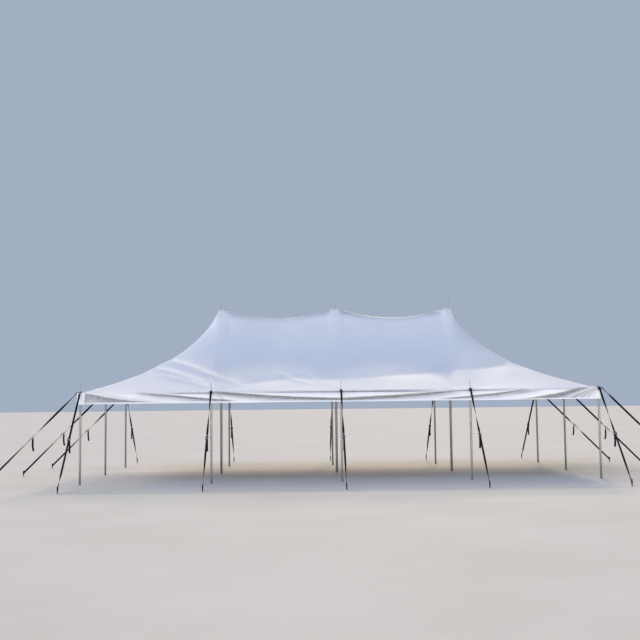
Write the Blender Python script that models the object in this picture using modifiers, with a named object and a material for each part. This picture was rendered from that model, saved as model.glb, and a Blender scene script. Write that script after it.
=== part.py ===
"""Pole tent: a white vinyl top over three centre poles and twelve side poles, held out by ratchet straps.

Metres, +Z up. The origin is on the ground under the middle centre pole, X runs along the ridge.
"""

import math

import bmesh
import bpy
from mathutils import Matrix, Vector

# Plan and heights
BAY = 3.048
BAYS_LONG = 4
BAYS_WIDE = 2
EAVE_HEIGHT = 2.134
PEAK_RISE = 2.196

# Small clearance between pieces that touch
SEAT_GAP = 0.0003

# Canopy
CANOPY_THICKNESS = 0.005
HEM_HALF_WIDTH = 0.045
PEAK_PATCH_HALF = 0.05
PEAK_PATCH_FADE = 0.20
STRAIGHT_SHARE = 0.265
FLARE_START = 0.127
HIP_SQUARENESS = 0.55
RIDGE_DIP = 0.107
RIDGE_ROUNDING = 0.10

# Valance, the hanging strip below the eave
VALANCE_DROP = 0.27
VALANCE_THICKNESS = 0.004

# Poles
SIDE_POLE_RADIUS = 0.0254
CENTRE_POLE_RADIUS = 0.0318
FOOT_EXTRA_RADIUS = 0.008
FOOT_THICKNESS = 0.012
PIN_RADIUS = 0.0065
PIN_ABOVE_CANOPY = 0.20
PIN_CLEARANCE = 0.0015
POLE_STEPS = 12

# Guy straps
STRAP_WIDTH = 0.05
STRAP_THICKNESS = 0.004
GUY_REACH = 2.134
RATCHET_SHARE = 0.50
TAIL_LENGTH = 0.36
PIN_PLATE_WIDTH = 0.06
PIN_PLATE_THICKNESS = 0.004
PIN_PLATE_INSIDE = 0.03
RING_RADIUS = 0.03
RING_BAR_RADIUS = 0.005
RING_STANDOFF = 0.045

# Ratchet buckle
RATCHET_LENGTH = 0.12
RATCHET_DEPTH = 0.032
RATCHET_PLATE = 0.004
SPOOL_RADIUS = 0.014
HANDLE_LENGTH = 0.13
HANDLE_RISE = 0.030
HANDLE_THICKNESS = 0.010

# Stakes, the length that stands above the ground
STAKE_RADIUS = 0.0127
STAKE_HEIGHT = 0.15
STAKE_HEAD_RADIUS = 0.019
STAKE_HEAD_HEIGHT = 0.018
STAKE_STEPS = 12
LOOP_HEIGHT = 0.04
LOOP_TOP = 0.10

# Worked out from the sizes above
HALF_LENGTH = BAYS_LONG * BAY / 2
HALF_WIDTH = BAYS_WIDE * BAY / 2
PEAK_REACH = HALF_LENGTH - BAY
PEAK_HEIGHT = EAVE_HEIGHT + PEAK_RISE
CANOPY_BASE = EAVE_HEIGHT + SEAT_GAP
PEAK_BASE = PEAK_HEIGHT + SEAT_GAP
PIN_PLATE_BASE = CANOPY_BASE + CANOPY_THICKNESS + SEAT_GAP

WHITE_VINYL = ("white_vinyl", (0.83, 0.84, 0.87, 1), 0.45, 0.0)
GREY_TUBE = ("grey_tube", (0.55, 0.57, 0.57, 1), 0.4, 1.0)
BLACK_WEBBING = ("black_webbing", (0.02, 0.02, 0.022, 1), 0.85, 0.0)
STAKE_STEEL = ("stake_steel", (0.12, 0.10, 0.09, 1), 0.7, 1.0)


def clear_scene():
    """Removes the objects and the meshes that the scene starts with."""
    for obj in list(bpy.data.objects):
        bpy.data.objects.remove(obj, do_unlink=True)


def new_collection(name):
    """A collection linked under the scene."""
    collection = bpy.data.collections.new(name)
    bpy.context.scene.collection.children.link(collection)
    return collection


def make_material(look):
    """A Principled material from a name, colour, roughness and metallic value."""
    name, colour, roughness, metallic = look
    material = bpy.data.materials.new(name)
    material.use_nodes = True
    shader = material.node_tree.nodes["Principled BSDF"]
    shader.inputs["Base Color"].default_value = colour
    shader.inputs["Roughness"].default_value = roughness
    shader.inputs["Metallic"].default_value = metallic
    return material


def place(name, mesh, collection, location=(0, 0, 0), heading=0.0):
    """An object of this mesh at a location, turned about Z by its heading."""
    obj = bpy.data.objects.new(name, mesh)
    obj.location = location
    obj.rotation_euler = (0, 0, heading)
    collection.objects.link(obj)
    return obj


def evaluated_mesh(obj, name):
    """A plain mesh of the object with its modifiers applied."""
    bpy.context.view_layer.update()
    graph = bpy.context.evaluated_depsgraph_get()
    mesh = bpy.data.meshes.new_from_object(obj.evaluated_get(graph))
    mesh.name = name
    return mesh


def mesh_from(bm, name, material=None):
    """Turns a bmesh into a mesh with one material, and frees it."""
    mesh = bpy.data.meshes.new(name)
    bm.to_mesh(mesh)
    bm.free()
    if material:
        mesh.materials.append(material)
    return mesh


def smooth_step(value):
    """A smooth ramp from 0 at 0 to 1 at 1."""
    t = min(max(value, 0.0), 1.0)
    return t * t * (3 - 2 * t)


# Canopy surface


def fall_of(reach):
    """Height share at a reach of 0 at the peak to 1 at the eave: part straight, part flared like a film."""
    flare = math.log((1 + FLARE_START) / (reach + FLARE_START)) / math.log((1 + FLARE_START) / FLARE_START)
    return STRAIGHT_SHARE * (1 - reach) + (1 - STRAIGHT_SHARE) * flare


def peak_positions():
    """X of each centre pole, one at each inner pole line."""
    return [-PEAK_REACH + BAY * i for i in range(BAYS_LONG - 1)]


def span_share(x):
    """How far x is from the peak before it to the peak after it, 0 to 1, and 0 beyond the end peaks."""
    if abs(x) >= PEAK_REACH:
        return 0.0
    along = (x + PEAK_REACH) % BAY
    share = (along - PEAK_PATCH_HALF) / (BAY - 2 * PEAK_PATCH_HALF)
    return min(max(share, 0.0), 1.0)


def canopy_height(x, y):
    """Height of the canopy's underside above the eave at a point of the plan."""
    from_peak = min(abs(x - peak) for peak in peak_positions())
    patch = PEAK_PATCH_HALF * (1 - smooth_step((from_peak - PEAK_PATCH_HALF) / PEAK_PATCH_FADE))
    long_reach = HALF_LENGTH - HEM_HALF_WIDTH - PEAK_REACH - PEAK_PATCH_HALF
    along = max(abs(x) - PEAK_REACH - PEAK_PATCH_HALF, 0.0) / long_reach
    across = max(abs(y) - patch, 0.0) / (HALF_WIDTH - HEM_HALF_WIDTH - patch)
    square = max(along, across)
    if square >= 1:
        return 0.0
    squaring = square**HIP_SQUARENESS
    reach = (1 - squaring) * math.hypot(along, across) + squaring * square
    share = span_share(x)
    sag = 4 * share * (1 - share)
    rounding = RIDGE_ROUNDING * sag
    reach = (math.hypot(reach, rounding) - rounding) / (math.hypot(1, rounding) - rounding)
    return (PEAK_BASE - CANOPY_BASE) * (1 - RIDGE_DIP * sag) * fall_of(reach)


def end_stops():
    """Shares of the way from a peak to the eave where the canopy has a grid line."""
    return (0.0, 0.04, 0.10, 0.18, 0.28, 0.40, 0.54, 0.69, 0.85, 1.0)


def span_stops():
    """Shares of the way between two peaks where the canopy has a grid line."""
    return (0.0, 0.05, 0.13, 0.25, 0.40, 0.60, 0.75, 0.87, 0.95)


def grid_x():
    """X of the canopy's grid lines, from one end to the other."""
    outer = HALF_LENGTH + HEM_HALF_WIDTH
    start = PEAK_REACH + PEAK_PATCH_HALF
    run = HALF_LENGTH - HEM_HALF_WIDTH - start
    right_end = [start + stop * run for stop in end_stops()] + [outer]
    middle = []
    for peak in peak_positions()[:-1]:
        middle.append(peak)
        span = BAY - 2 * PEAK_PATCH_HALF
        middle += [peak + PEAK_PATCH_HALF + stop * span for stop in span_stops()]
        middle.append(peak + BAY - PEAK_PATCH_HALF)
    middle.append(peak_positions()[-1])
    return [-x for x in reversed(right_end)] + middle + right_end


def grid_y():
    """Y of the canopy's grid lines, from the front to the back."""
    run = HALF_WIDTH - HEM_HALF_WIDTH - PEAK_PATCH_HALF
    side = [PEAK_PATCH_HALF + stop * run for stop in end_stops()] + [HALF_WIDTH + HEM_HALF_WIDTH]
    return [-y for y in reversed(side)] + [0.0] + side


def pole_places():
    """Names and plan positions of the side poles, with the outward headings of their straps."""
    front, back, left, right = -math.pi / 2, math.pi / 2, math.pi, 0.0
    labels = ["left_corner"] + [f"{i}" for i in range(2, BAYS_LONG + 1)] + ["right_corner"]
    places = []
    for i, label in enumerate(labels):
        x = -HALF_LENGTH + BAY * i
        for side, y, heading in (("front", -HALF_WIDTH, front), ("back", HALF_WIDTH, back)):
            headings = [heading]
            if i == 0:
                headings.append(left)
            if i == BAYS_LONG:
                headings.append(right)
            places.append((f"{side}_{label}", x, y, headings))
    for i in range(1, BAYS_WIDE):
        y = -HALF_WIDTH + BAY * i
        number = f"_{i + 1}" if BAYS_WIDE > 2 else ""
        places.append((f"left_middle{number}", -HALF_LENGTH, y, [left]))
        places.append((f"right_middle{number}", HALF_LENGTH, y, [right]))
    return places


def pin_cutters(collection):
    """One mesh of upright cylinders, a hole through the canopy for each pole's pin."""
    bm = bmesh.new()
    spots = [(x, y, EAVE_HEIGHT) for _, x, y, _ in pole_places()]
    spots += [(x, 0, PEAK_HEIGHT) for x in peak_positions()]
    for x, y, z in spots:
        bmesh.ops.create_cone(
            bm, cap_ends=True, segments=POLE_STEPS, depth=8 * CANOPY_THICKNESS,
            radius1=PIN_RADIUS + PIN_CLEARANCE, radius2=PIN_RADIUS + PIN_CLEARANCE,
            matrix=Matrix.Translation((x, y, z)),
        )
    cutter = place("pin_holes", mesh_from(bm, "pin_holes"), collection)
    cutter.hide_render = True
    cutter.display_type = "WIRE"
    return cutter


def panel_lines(lines, low, high):
    """The grid lines from low to high, with each welded seam's edge set back by half the seat gap."""
    inside = [line for line in lines if low - SEAT_GAP < line < high + SEAT_GAP]
    if low > lines[0]:
        inside[0] += SEAT_GAP / 2
    if high < lines[-1]:
        inside[-1] -= SEAT_GAP / 2
    return inside


def make_panel(name, xs, ys, holes, collection, material):
    """One vinyl panel of the top: a grid pulled up to the canopy's height and thickened outwards."""
    bm = bmesh.new()
    rows = [[bm.verts.new((x, y, CANOPY_BASE + canopy_height(x, y))) for x in xs] for y in ys]
    # The diagonals of the faces run the way that the hip does.
    with_hip = (xs[0] + xs[-1]) * (ys[0] + ys[-1]) > 0
    for near, far in zip(rows, rows[1:]):
        for i in range(len(xs) - 1):
            corners = (near[i], near[i + 1], far[i + 1], far[i])
            if with_hip:
                bm.faces.new((corners[0], corners[1], corners[2]))
                bm.faces.new((corners[0], corners[2], corners[3]))
            else:
                bm.faces.new((corners[0], corners[1], corners[3]))
                bm.faces.new((corners[1], corners[2], corners[3]))
    panel = place(name, mesh_from(bm, name, material), collection)
    shell = panel.modifiers.new("thickness", "SOLIDIFY")
    shell.thickness = CANOPY_THICKNESS
    shell.offset = 1
    cut = panel.modifiers.new("pin_holes", "BOOLEAN")
    cut.object = holes


def make_canopy(collection, cutters, material):
    """The vinyl top: welded panels, a front and a back one to each bay, with a hole at each pin."""
    xs, ys = grid_x(), grid_y()
    holes = pin_cutters(cutters)
    seams = [xs[0], *peak_positions(), xs[-1]]
    for i, (low, high) in enumerate(zip(seams, seams[1:])):
        across = panel_lines(xs, low, high)
        for side, near, far in (("front", ys[0], 0.0), ("back", 0.0, ys[-1])):
            name = f"canopy_panel_{side}_{i + 1}"
            make_panel(name, across, panel_lines(ys, near, far), holes, collection, material)


def make_valance(collection, material):
    """Four straight strips that hang below the canopy's edge, one to a side."""
    long_half = HALF_LENGTH + HEM_HALF_WIDTH
    wide_half = HALF_WIDTH + HEM_HALF_WIDTH
    short_half = wide_half - VALANCE_THICKNESS - SEAT_GAP
    z = EAVE_HEIGHT - VALANCE_DROP / 2
    strips = (
        ("front", (2 * long_half, VALANCE_THICKNESS), (0, -wide_half + VALANCE_THICKNESS / 2)),
        ("back", (2 * long_half, VALANCE_THICKNESS), (0, wide_half - VALANCE_THICKNESS / 2)),
        ("left", (VALANCE_THICKNESS, 2 * short_half), (-long_half + VALANCE_THICKNESS / 2, 0)),
        ("right", (VALANCE_THICKNESS, 2 * short_half), (long_half - VALANCE_THICKNESS / 2, 0)),
    )
    for side, (size_x, size_y), (x, y) in strips:
        bm = bmesh.new()
        bmesh.ops.create_cube(bm, size=1, matrix=Matrix.Diagonal((size_x, size_y, VALANCE_DROP, 1)))
        place(f"valance_{side}", mesh_from(bm, f"valance_{side}", material), collection, (x, y, z))


# Poles and stakes


def turned(name, profile, steps, material, collection):
    """A turned solid from its outer profile, listed as radius and height from the top down."""
    bm = bmesh.new()
    verts = [bm.verts.new((radius, 0, z)) for radius, z in profile]
    for first, second in zip(verts, verts[1:]):
        bm.edges.new((first, second))
    guide = place(name + "_guide", mesh_from(bm, name + "_guide", material), collection)
    screw = guide.modifiers.new("turn", "SCREW")
    screw.steps = steps
    screw.render_steps = steps
    screw.use_merge_vertices = True
    screw.merge_threshold = 0.0001
    mesh = evaluated_mesh(guide, name)
    bpy.data.objects.remove(guide)
    return mesh


def pole_mesh(name, radius, height, material, collection):
    """A pole with a round foot, a flat shoulder and the pin that goes up through the canopy."""
    pin_top = height + SEAT_GAP + CANOPY_THICKNESS + PIN_ABOVE_CANOPY
    profile = [
        (0, pin_top),
        (0.5 * PIN_RADIUS, pin_top),
        (PIN_RADIUS, pin_top - PIN_RADIUS),
        (PIN_RADIUS, height),
        (radius, height),
        (radius, FOOT_THICKNESS),
        (radius + FOOT_EXTRA_RADIUS, FOOT_THICKNESS),
        (radius + FOOT_EXTRA_RADIUS, 0),
        (0, 0),
    ]
    return turned(name, profile, POLE_STEPS, material, collection)


def make_poles(collection, material):
    """Twelve side poles on the eave line, and three centre poles on the ridge line."""
    side = pole_mesh("side_pole", SIDE_POLE_RADIUS, EAVE_HEIGHT, material, collection)
    for label, x, y, _ in pole_places():
        place(f"side_pole_{label}", side, collection, (x, y, 0))
    centre = pole_mesh("centre_pole", CENTRE_POLE_RADIUS, PEAK_HEIGHT, material, collection)
    for i, x in enumerate(peak_positions()):
        place(f"centre_pole_{i + 1}", centre, collection, (x, 0, 0))


def stake_mesh(material, collection):
    """The part of a driven steel stake above the ground, with its mushroomed head."""
    neck = STAKE_HEIGHT - STAKE_HEAD_HEIGHT
    profile = [
        (0, STAKE_HEIGHT),
        (0.7 * STAKE_HEAD_RADIUS, STAKE_HEIGHT),
        (STAKE_HEAD_RADIUS, STAKE_HEIGHT - 0.3 * STAKE_HEAD_HEIGHT),
        (STAKE_HEAD_RADIUS, neck + 0.3 * STAKE_HEAD_HEIGHT),
        (STAKE_RADIUS, neck),
        (STAKE_RADIUS, 0),
        (0, 0),
    ]
    return turned("stake", profile, STAKE_STEPS, material, collection)


# Guy straps, drawn in a frame with X outwards from the pole's axis and Z up


def add_box(bm, matrix, size, centre=(0, 0, 0)):
    """A box of this size, centred at a point of the matrix's frame."""
    made = bmesh.ops.create_cube(bm, size=1)["verts"]
    bmesh.ops.transform(bm, verts=made, matrix=Matrix.Diagonal((*size, 1)))
    bmesh.ops.transform(bm, verts=made, matrix=matrix @ Matrix.Translation(centre))


def add_rod(bm, matrix, radius, length, centre, segments=8):
    """A round bar across the strap, along the matrix's Y axis."""
    turn = Matrix.Rotation(math.pi / 2, 4, "X")
    bmesh.ops.create_cone(
        bm, cap_ends=True, segments=segments, radius1=radius, radius2=radius, depth=length,
        matrix=matrix @ Matrix.Translation(centre) @ turn,
    )


def shape(name, collection, build):
    """A helper object whose mesh is filled by a build function."""
    bm = bmesh.new()
    build(bm)
    return place(name, mesh_from(bm, name), collection)


def joined(name, shapes, cuts, material):
    """One closed mesh: the Boolean union of the shapes, less the cuts. The helpers are removed."""
    base = shapes[0]
    for other, operation in [(s, "UNION") for s in shapes[1:]] + [(c, "DIFFERENCE") for c in cuts]:
        step = base.modifiers.new(other.name, "BOOLEAN")
        step.object = other
        step.operation = operation
    mesh = evaluated_mesh(base, name)
    for helper in [*shapes, *cuts]:
        bpy.data.objects.remove(helper)
    mesh.materials.clear()
    mesh.materials.append(material)
    return mesh


def line_frame(start, end):
    """A frame at start whose X axis runs to end, with Y level, and the distance between them."""
    along = (end - start).normalized()
    across = Vector((0, 1, 0))
    out = along.cross(across)
    turn = Matrix((along, across, out)).transposed().to_4x4()
    return Matrix.Translation(start) @ turn, (end - start).length


def ring_centre(lift):
    """Centre of the steel ring outside the eave, just below its pin plate."""
    slope = math.atan2(EAVE_HEIGHT - LOOP_TOP, GUY_REACH - HEM_HALF_WIDTH - RING_STANDOFF)
    drop = RING_RADIUS * math.sin(slope)
    plate_middle = PIN_PLATE_BASE + lift + PIN_PLATE_THICKNESS / 2
    return Vector((HEM_HALF_WIDTH + RING_STANDOFF, 0, plate_middle - drop))


def strap_mesh(name, lift, collection, material):
    """Pin plate, steel ring, upper webbing, ratchet, lower webbing, hanging tail and the loop round the stake."""
    ring = ring_centre(lift)
    loop_inner = STAKE_RADIUS + SEAT_GAP
    loop_outer = loop_inner + STRAP_THICKNESS
    foot = Vector((GUY_REACH - loop_inner - STRAP_THICKNESS / 2, 0, LOOP_TOP - LOOP_HEIGHT / 2))
    frame, length = line_frame(ring, foot)
    middle = RATCHET_SHARE * length
    half = RATCHET_LENGTH / 2
    ring_side = PIN_PLATE_BASE + lift + PIN_PLATE_THICKNESS / 2
    plate_end = ring.x - RING_RADIUS * (frame.to_3x3() @ Vector((1, 0, 0))).x + RING_BAR_RADIUS
    plate_length = plate_end + PIN_PLATE_INSIDE
    upper = middle - 0.2 * half - RING_RADIUS
    lower = length - middle - 0.7 * half
    plate_y = (STRAP_WIDTH + RATCHET_PLATE) / 2 + 0.001
    spool = (middle - 0.25 * half, 0, 0)
    anchor = (middle + 0.8 * half, 0, 0)
    tail_top = frame @ Vector((middle - 0.25 * half, 0, 0))
    turned_frame = Matrix.Translation(tail_top)

    def plate(bm):
        add_box(
            bm, Matrix.Identity(4), (plate_length, PIN_PLATE_WIDTH, PIN_PLATE_THICKNESS),
            (plate_end - plate_length / 2, 0, ring_side),
        )

    def ring_bar(bm):
        segments, sides = 12, 5
        for i in range(segments):
            angle = 2 * math.pi * i / segments
            centre = Vector((RING_RADIUS * math.cos(angle), RING_RADIUS * math.sin(angle), 0))
            outward = centre.normalized()
            for j in range(sides):
                around = 2 * math.pi * j / sides
                offset = outward * math.cos(around) + Vector((0, 0, 1)) * math.sin(around)
                bm.verts.new(frame @ (centre + RING_BAR_RADIUS * offset))
        bm.verts.ensure_lookup_table()
        for i in range(segments):
            for j in range(sides):
                corners = ((i, j), (i + 1, j), (i + 1, j + 1), (i, j + 1))
                bm.faces.new([bm.verts[(a % segments) * sides + b % sides] for a, b in corners])
        bmesh.ops.recalc_face_normals(bm, faces=bm.faces)

    def upper_webbing(bm):
        size = (upper, STRAP_WIDTH, STRAP_THICKNESS)
        add_box(bm, frame, size, (RING_RADIUS + upper / 2, 0, 0))

    def lower_webbing(bm):
        size = (lower, STRAP_WIDTH - 0.002, STRAP_THICKNESS)
        add_box(bm, frame, size, (length - lower / 2, 0, 0))

    def side_plate(side):
        def build(bm):
            size = (RATCHET_LENGTH, RATCHET_PLATE, RATCHET_DEPTH)
            add_box(bm, frame, size, (middle, side * plate_y, 0))
        return build

    def spool_bar(bm):
        add_rod(bm, frame, SPOOL_RADIUS, 2 * plate_y + 3 * RATCHET_PLATE, spool, 10)

    def anchor_bar(bm):
        add_rod(bm, frame, 0.006, 2 * plate_y + 2 * RATCHET_PLATE, anchor)

    def handle(bm):
        size = (HANDLE_LENGTH, STRAP_WIDTH + 0.016, HANDLE_THICKNESS)
        add_box(bm, frame, size, (middle + 0.1 * half, 0, HANDLE_RISE - HANDLE_THICKNESS / 2 - 0.006))

    def tail(bm):
        size = (STRAP_THICKNESS, STRAP_WIDTH - 0.004, TAIL_LENGTH)
        add_box(bm, turned_frame, size, (0, 0, -TAIL_LENGTH / 2))

    def loop_band(radius, height):
        def build(bm):
            at = Matrix.Translation((GUY_REACH, 0, LOOP_TOP - LOOP_HEIGHT / 2))
            bmesh.ops.create_cone(
                bm, cap_ends=True, segments=STAKE_STEPS, radius1=radius, radius2=radius,
                depth=height, matrix=at,
            )
        return build

    shapes = [
        shape("upper_webbing", collection, upper_webbing),
        shape("ring_bar", collection, ring_bar),
        shape("pin_plate", collection, plate),
        shape("spool_bar", collection, spool_bar),
        shape("near_plate", collection, side_plate(-1)),
        shape("far_plate", collection, side_plate(1)),
        shape("handle", collection, handle),
        shape("anchor_bar", collection, anchor_bar),
        shape("lower_webbing", collection, lower_webbing),
        shape("tail", collection, tail),
        shape("loop_band", collection, loop_band(loop_outer, LOOP_HEIGHT)),
    ]

    def pin_hole(bm):
        bmesh.ops.create_cone(
            bm, cap_ends=True, segments=POLE_STEPS, depth=10 * PIN_PLATE_THICKNESS,
            radius1=PIN_RADIUS + PIN_CLEARANCE, radius2=PIN_RADIUS + PIN_CLEARANCE,
            matrix=Matrix.Translation((0, 0, ring_side)),
        )

    cuts = [
        shape("pin_hole", collection, pin_hole),
        shape("stake_hole", collection, loop_band(loop_inner, 3 * LOOP_HEIGHT)),
    ]
    return joined(name, shapes, cuts, material)


def make_guys(collection, webbing, steel):
    """A strap and its stake for every outward direction of each side pole, two at a corner."""
    second_lift = PIN_PLATE_THICKNESS + SEAT_GAP
    lower_mesh = strap_mesh("guy_strap", 0.0, collection, webbing)
    upper_mesh = strap_mesh("guy_strap_upper", second_lift, collection, webbing)
    stake = stake_mesh(steel, collection)
    for label, x, y, headings in pole_places():
        for order, heading in enumerate(headings):
            name = label + ("_end" if order else "")
            mesh = upper_mesh if order else lower_mesh
            place(f"guy_strap_{name}", mesh, collection, (x, y, 0), heading)
            out = Vector((math.cos(heading), math.sin(heading), 0)) * GUY_REACH
            place(f"stake_{name}", stake, collection, (x + out.x, y + out.y, 0))


def main():
    clear_scene()
    tent = new_collection("pole_tent")
    cutters = new_collection("cutters")
    vinyl = make_material(WHITE_VINYL)
    tube = make_material(GREY_TUBE)
    webbing = make_material(BLACK_WEBBING)
    steel = make_material(STAKE_STEEL)
    make_canopy(tent, cutters, vinyl)
    make_valance(tent, vinyl)
    make_poles(tent, tube)
    make_guys(tent, webbing, steel)


main()
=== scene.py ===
"""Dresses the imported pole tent: folded white vinyl, aluminium poles, ratchet straps and stakes."""

import math

import bmesh
import bpy
import numpy as np
from mathutils import Matrix, Vector, noise


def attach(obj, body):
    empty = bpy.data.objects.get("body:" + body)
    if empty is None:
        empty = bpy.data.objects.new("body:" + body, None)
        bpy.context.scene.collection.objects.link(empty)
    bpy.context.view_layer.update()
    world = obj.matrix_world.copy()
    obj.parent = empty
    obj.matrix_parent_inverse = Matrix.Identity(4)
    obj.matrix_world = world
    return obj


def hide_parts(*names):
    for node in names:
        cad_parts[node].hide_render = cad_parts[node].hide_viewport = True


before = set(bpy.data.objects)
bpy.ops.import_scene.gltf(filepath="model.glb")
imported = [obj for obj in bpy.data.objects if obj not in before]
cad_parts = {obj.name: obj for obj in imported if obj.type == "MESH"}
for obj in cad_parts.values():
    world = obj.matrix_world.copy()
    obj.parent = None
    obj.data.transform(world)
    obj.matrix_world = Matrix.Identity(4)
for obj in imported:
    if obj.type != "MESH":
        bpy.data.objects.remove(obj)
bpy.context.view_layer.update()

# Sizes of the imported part, in metres
BAY = 3.048
EAVE_HEIGHT = 2.134
PEAK_HEIGHT = 4.330
SEAT_GAP = 0.0003
CANOPY_THICKNESS = 0.005
HEM_HALF_WIDTH = 0.045
PEAK_PATCH_HALF = 0.05
PEAK_PATCH_FADE = 0.20
STRAIGHT_SHARE = 0.265
FLARE_START = 0.127
HIP_SQUARENESS = 0.55
RIDGE_DIP = 0.107
RIDGE_ROUNDING = 0.10
VALANCE_DROP = 0.27
SIDE_POLE_RADIUS = 0.0254
CENTRE_POLE_RADIUS = 0.0318
FOOT_EXTRA_RADIUS = 0.008
FOOT_THICKNESS = 0.012
PIN_RADIUS = 0.0065
PIN_ABOVE_CANOPY = 0.20
STRAP_WIDTH = 0.05
GUY_REACH = 2.134
RATCHET_SHARE = 0.50
TAIL_LENGTH = 0.36
PIN_PLATE_WIDTH = 0.06
PIN_PLATE_THICKNESS = 0.004
PIN_PLATE_INSIDE = 0.03
RING_RADIUS = 0.03
RING_BAR_RADIUS = 0.005
RING_STANDOFF = 0.045
RATCHET_LENGTH = 0.12
STAKE_RADIUS = 0.0127
STAKE_HEIGHT = 0.15
STAKE_HEAD_RADIUS = 0.019
LOOP_HEIGHT = 0.04
LOOP_TOP = 0.10
HALF_LENGTH = 2 * BAY
HALF_WIDTH = BAY
PEAK_REACH = BAY
PEAKS = (-BAY, 0.0, BAY)
CANOPY_BASE = EAVE_HEIGHT + SEAT_GAP
PEAK_BASE = PEAK_HEIGHT + SEAT_GAP
PIN_PLATE_BASE = CANOPY_BASE + CANOPY_THICKNESS + SEAT_GAP

# Sizes of what is dressed here
VINYL = 0.002
VINYL_LIFT = 0.0015
VALANCE_CLOTH = 0.0015
PATCH_CLOTH = 0.001
WELD = 0.0002
WEBBING = 0.0022
PIN_HOLE_HALF = 0.009
ROOF_HEM = 0.110
SIDE_PATCH_RADIUS = 0.16
PEAK_PATCH_RADIUS = 0.15
EDGE_X = HALF_LENGTH + HEM_HALF_WIDTH
EDGE_Y = HALF_WIDTH + HEM_HALF_WIDTH
SEAMS = tuple(BAY / 2 * i for i in range(-3, 4))
SEAM_HALF = 0.020
LIP_INSET = 0.012
PATCH_MARGIN = 0.020

# Steps of the cloth's grids: by a pole, near it and elsewhere, and along the valance
FINE_STEP = 0.026
MIDDLE_STEP = 0.041
LONG_STEP = 0.0625
WIDE_STEP = 0.052
VALANCE_STEP = 0.042
GRID_CUT = 0.31

# Dust all over the roof, painted shade that darkens the lit rim of its ridge, and dust on the peak
# patches
ROOF_DUST = 0.06
RIDGE_SHADE = 0.70
PEAK_PATCH_SOIL = 0.12


def pole_places():
    """Names and plan positions of the side poles, with the outward headings of their straps."""
    front, back, left, right = -math.pi / 2, math.pi / 2, math.pi, 0.0
    places = []
    for i, label in enumerate(("left_corner", "2", "3", "4", "right_corner")):
        x = -HALF_LENGTH + BAY * i
        ends = {0: [left], 4: [right]}.get(i, [])
        places.append((f"front_{label}", x, -HALF_WIDTH, [front, *ends]))
        places.append((f"back_{label}", x, HALF_WIDTH, [back, *ends]))
    places.append(("left_middle", -HALF_LENGTH, 0.0, [left]))
    places.append(("right_middle", HALF_LENGTH, 0.0, [right]))
    return places


SIDE_POLES = pole_places()
SIDE_PINS = [(x, y) for _, x, y, _ in SIDE_POLES]
PEAK_PINS = [(peak, 0.0) for peak in PEAKS]
LONG_POLES = (-2 * BAY, -BAY, 0.0, BAY, 2 * BAY)
WIDE_POLES = (-BAY, 0.0, BAY)


# Meshes


def smooth_step(value):
    t = np.clip(value, 0.0, 1.0)
    return t * t * (3 - 2 * t)


def bell(value):
    return np.exp(-(value**2))


def from_edge(x, y):
    """Distance from the roof's nearest edge, in plan."""
    return np.minimum(EDGE_X - abs(x), EDGE_Y - abs(y))


def turn_outwards(mesh, outward):
    """Turns a sheet's faces the same way, so that most look outwards."""
    bm = bmesh.new()
    bm.from_mesh(mesh)
    bmesh.ops.recalc_face_normals(bm, faces=bm.faces)
    if sum(face.normal.dot(outward) * face.calc_area() for face in bm.faces) < 0:
        bmesh.ops.reverse_faces(bm, faces=bm.faces)
    bm.to_mesh(mesh)
    bm.free()


def add_object(name, mesh, nodes=()):
    """An object of this mesh, riding on the frame, that stands for the named CAD nodes."""
    obj = bpy.data.objects.new(name, mesh)
    bpy.context.scene.collection.objects.link(obj)
    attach(obj, "root")
    if nodes:
        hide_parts(*nodes)
    return obj


def add_sheet(name, points, dust_and_shade, material, outward, thickness, nodes=(), faces=None):
    """Cloth of a grid of points, or of points and faces, thickened outwards or inwards.

    Every point has its dust and painted shade, a value that darkens the cloth.
    """
    if faces is None:
        faces = grid_quads(np.arange(dust_and_shade.size).reshape(dust_and_shade.shape))
    mesh = bpy.data.meshes.new(name)
    mesh.from_pydata(points.reshape(-1, 3), [], [tuple(int(i) for i in f) for f in faces])
    layer = mesh.attributes.new("dust_and_shade", "FLOAT", "POINT")
    layer.data.foreach_set("value", dust_and_shade.ravel().astype(np.float32))
    mesh.validate()
    mesh.materials.append(material)
    mesh.shade_smooth()
    turn_outwards(mesh, Vector(outward))
    cloth = add_object(name, mesh, nodes)
    shell = cloth.modifiers.new("thickness", "SOLIDIFY")
    shell.thickness = abs(thickness)
    shell.offset = math.copysign(1, thickness)
    shell.use_even_offset = False
    return cloth


def grid_quads(index):
    """The quads of a grid of point numbers."""
    corners = [index[:-1, :-1], index[1:, :-1], index[1:, 1:], index[:-1, 1:]]
    return np.stack(corners, axis=-1).reshape(-1, 4)


def grid_lines(low, high, stops, step_at):
    """Lines from low to high with one at every stop, and between them steps as step_at allows.

    The long stretches are cut first, so that the step can change along them.
    """
    cuts = np.arange(math.ceil(low / GRID_CUT) * GRID_CUT, high, GRID_CUT)
    clear = [c for c in cuts if min(abs(c - s) for s in stops) > 0.05]
    marks = sorted({low, high, *[s for s in (*stops, *clear) if low < s < high]})
    lines = [low]
    for start, end in zip(marks, marks[1:]):
        count = max(1, math.ceil((end - start) / step_at((start + end) / 2)))
        lines += [start + (end - start) * (i + 1) / count for i in range(count)]
    return np.array(lines)


# The roof's surface


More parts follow.
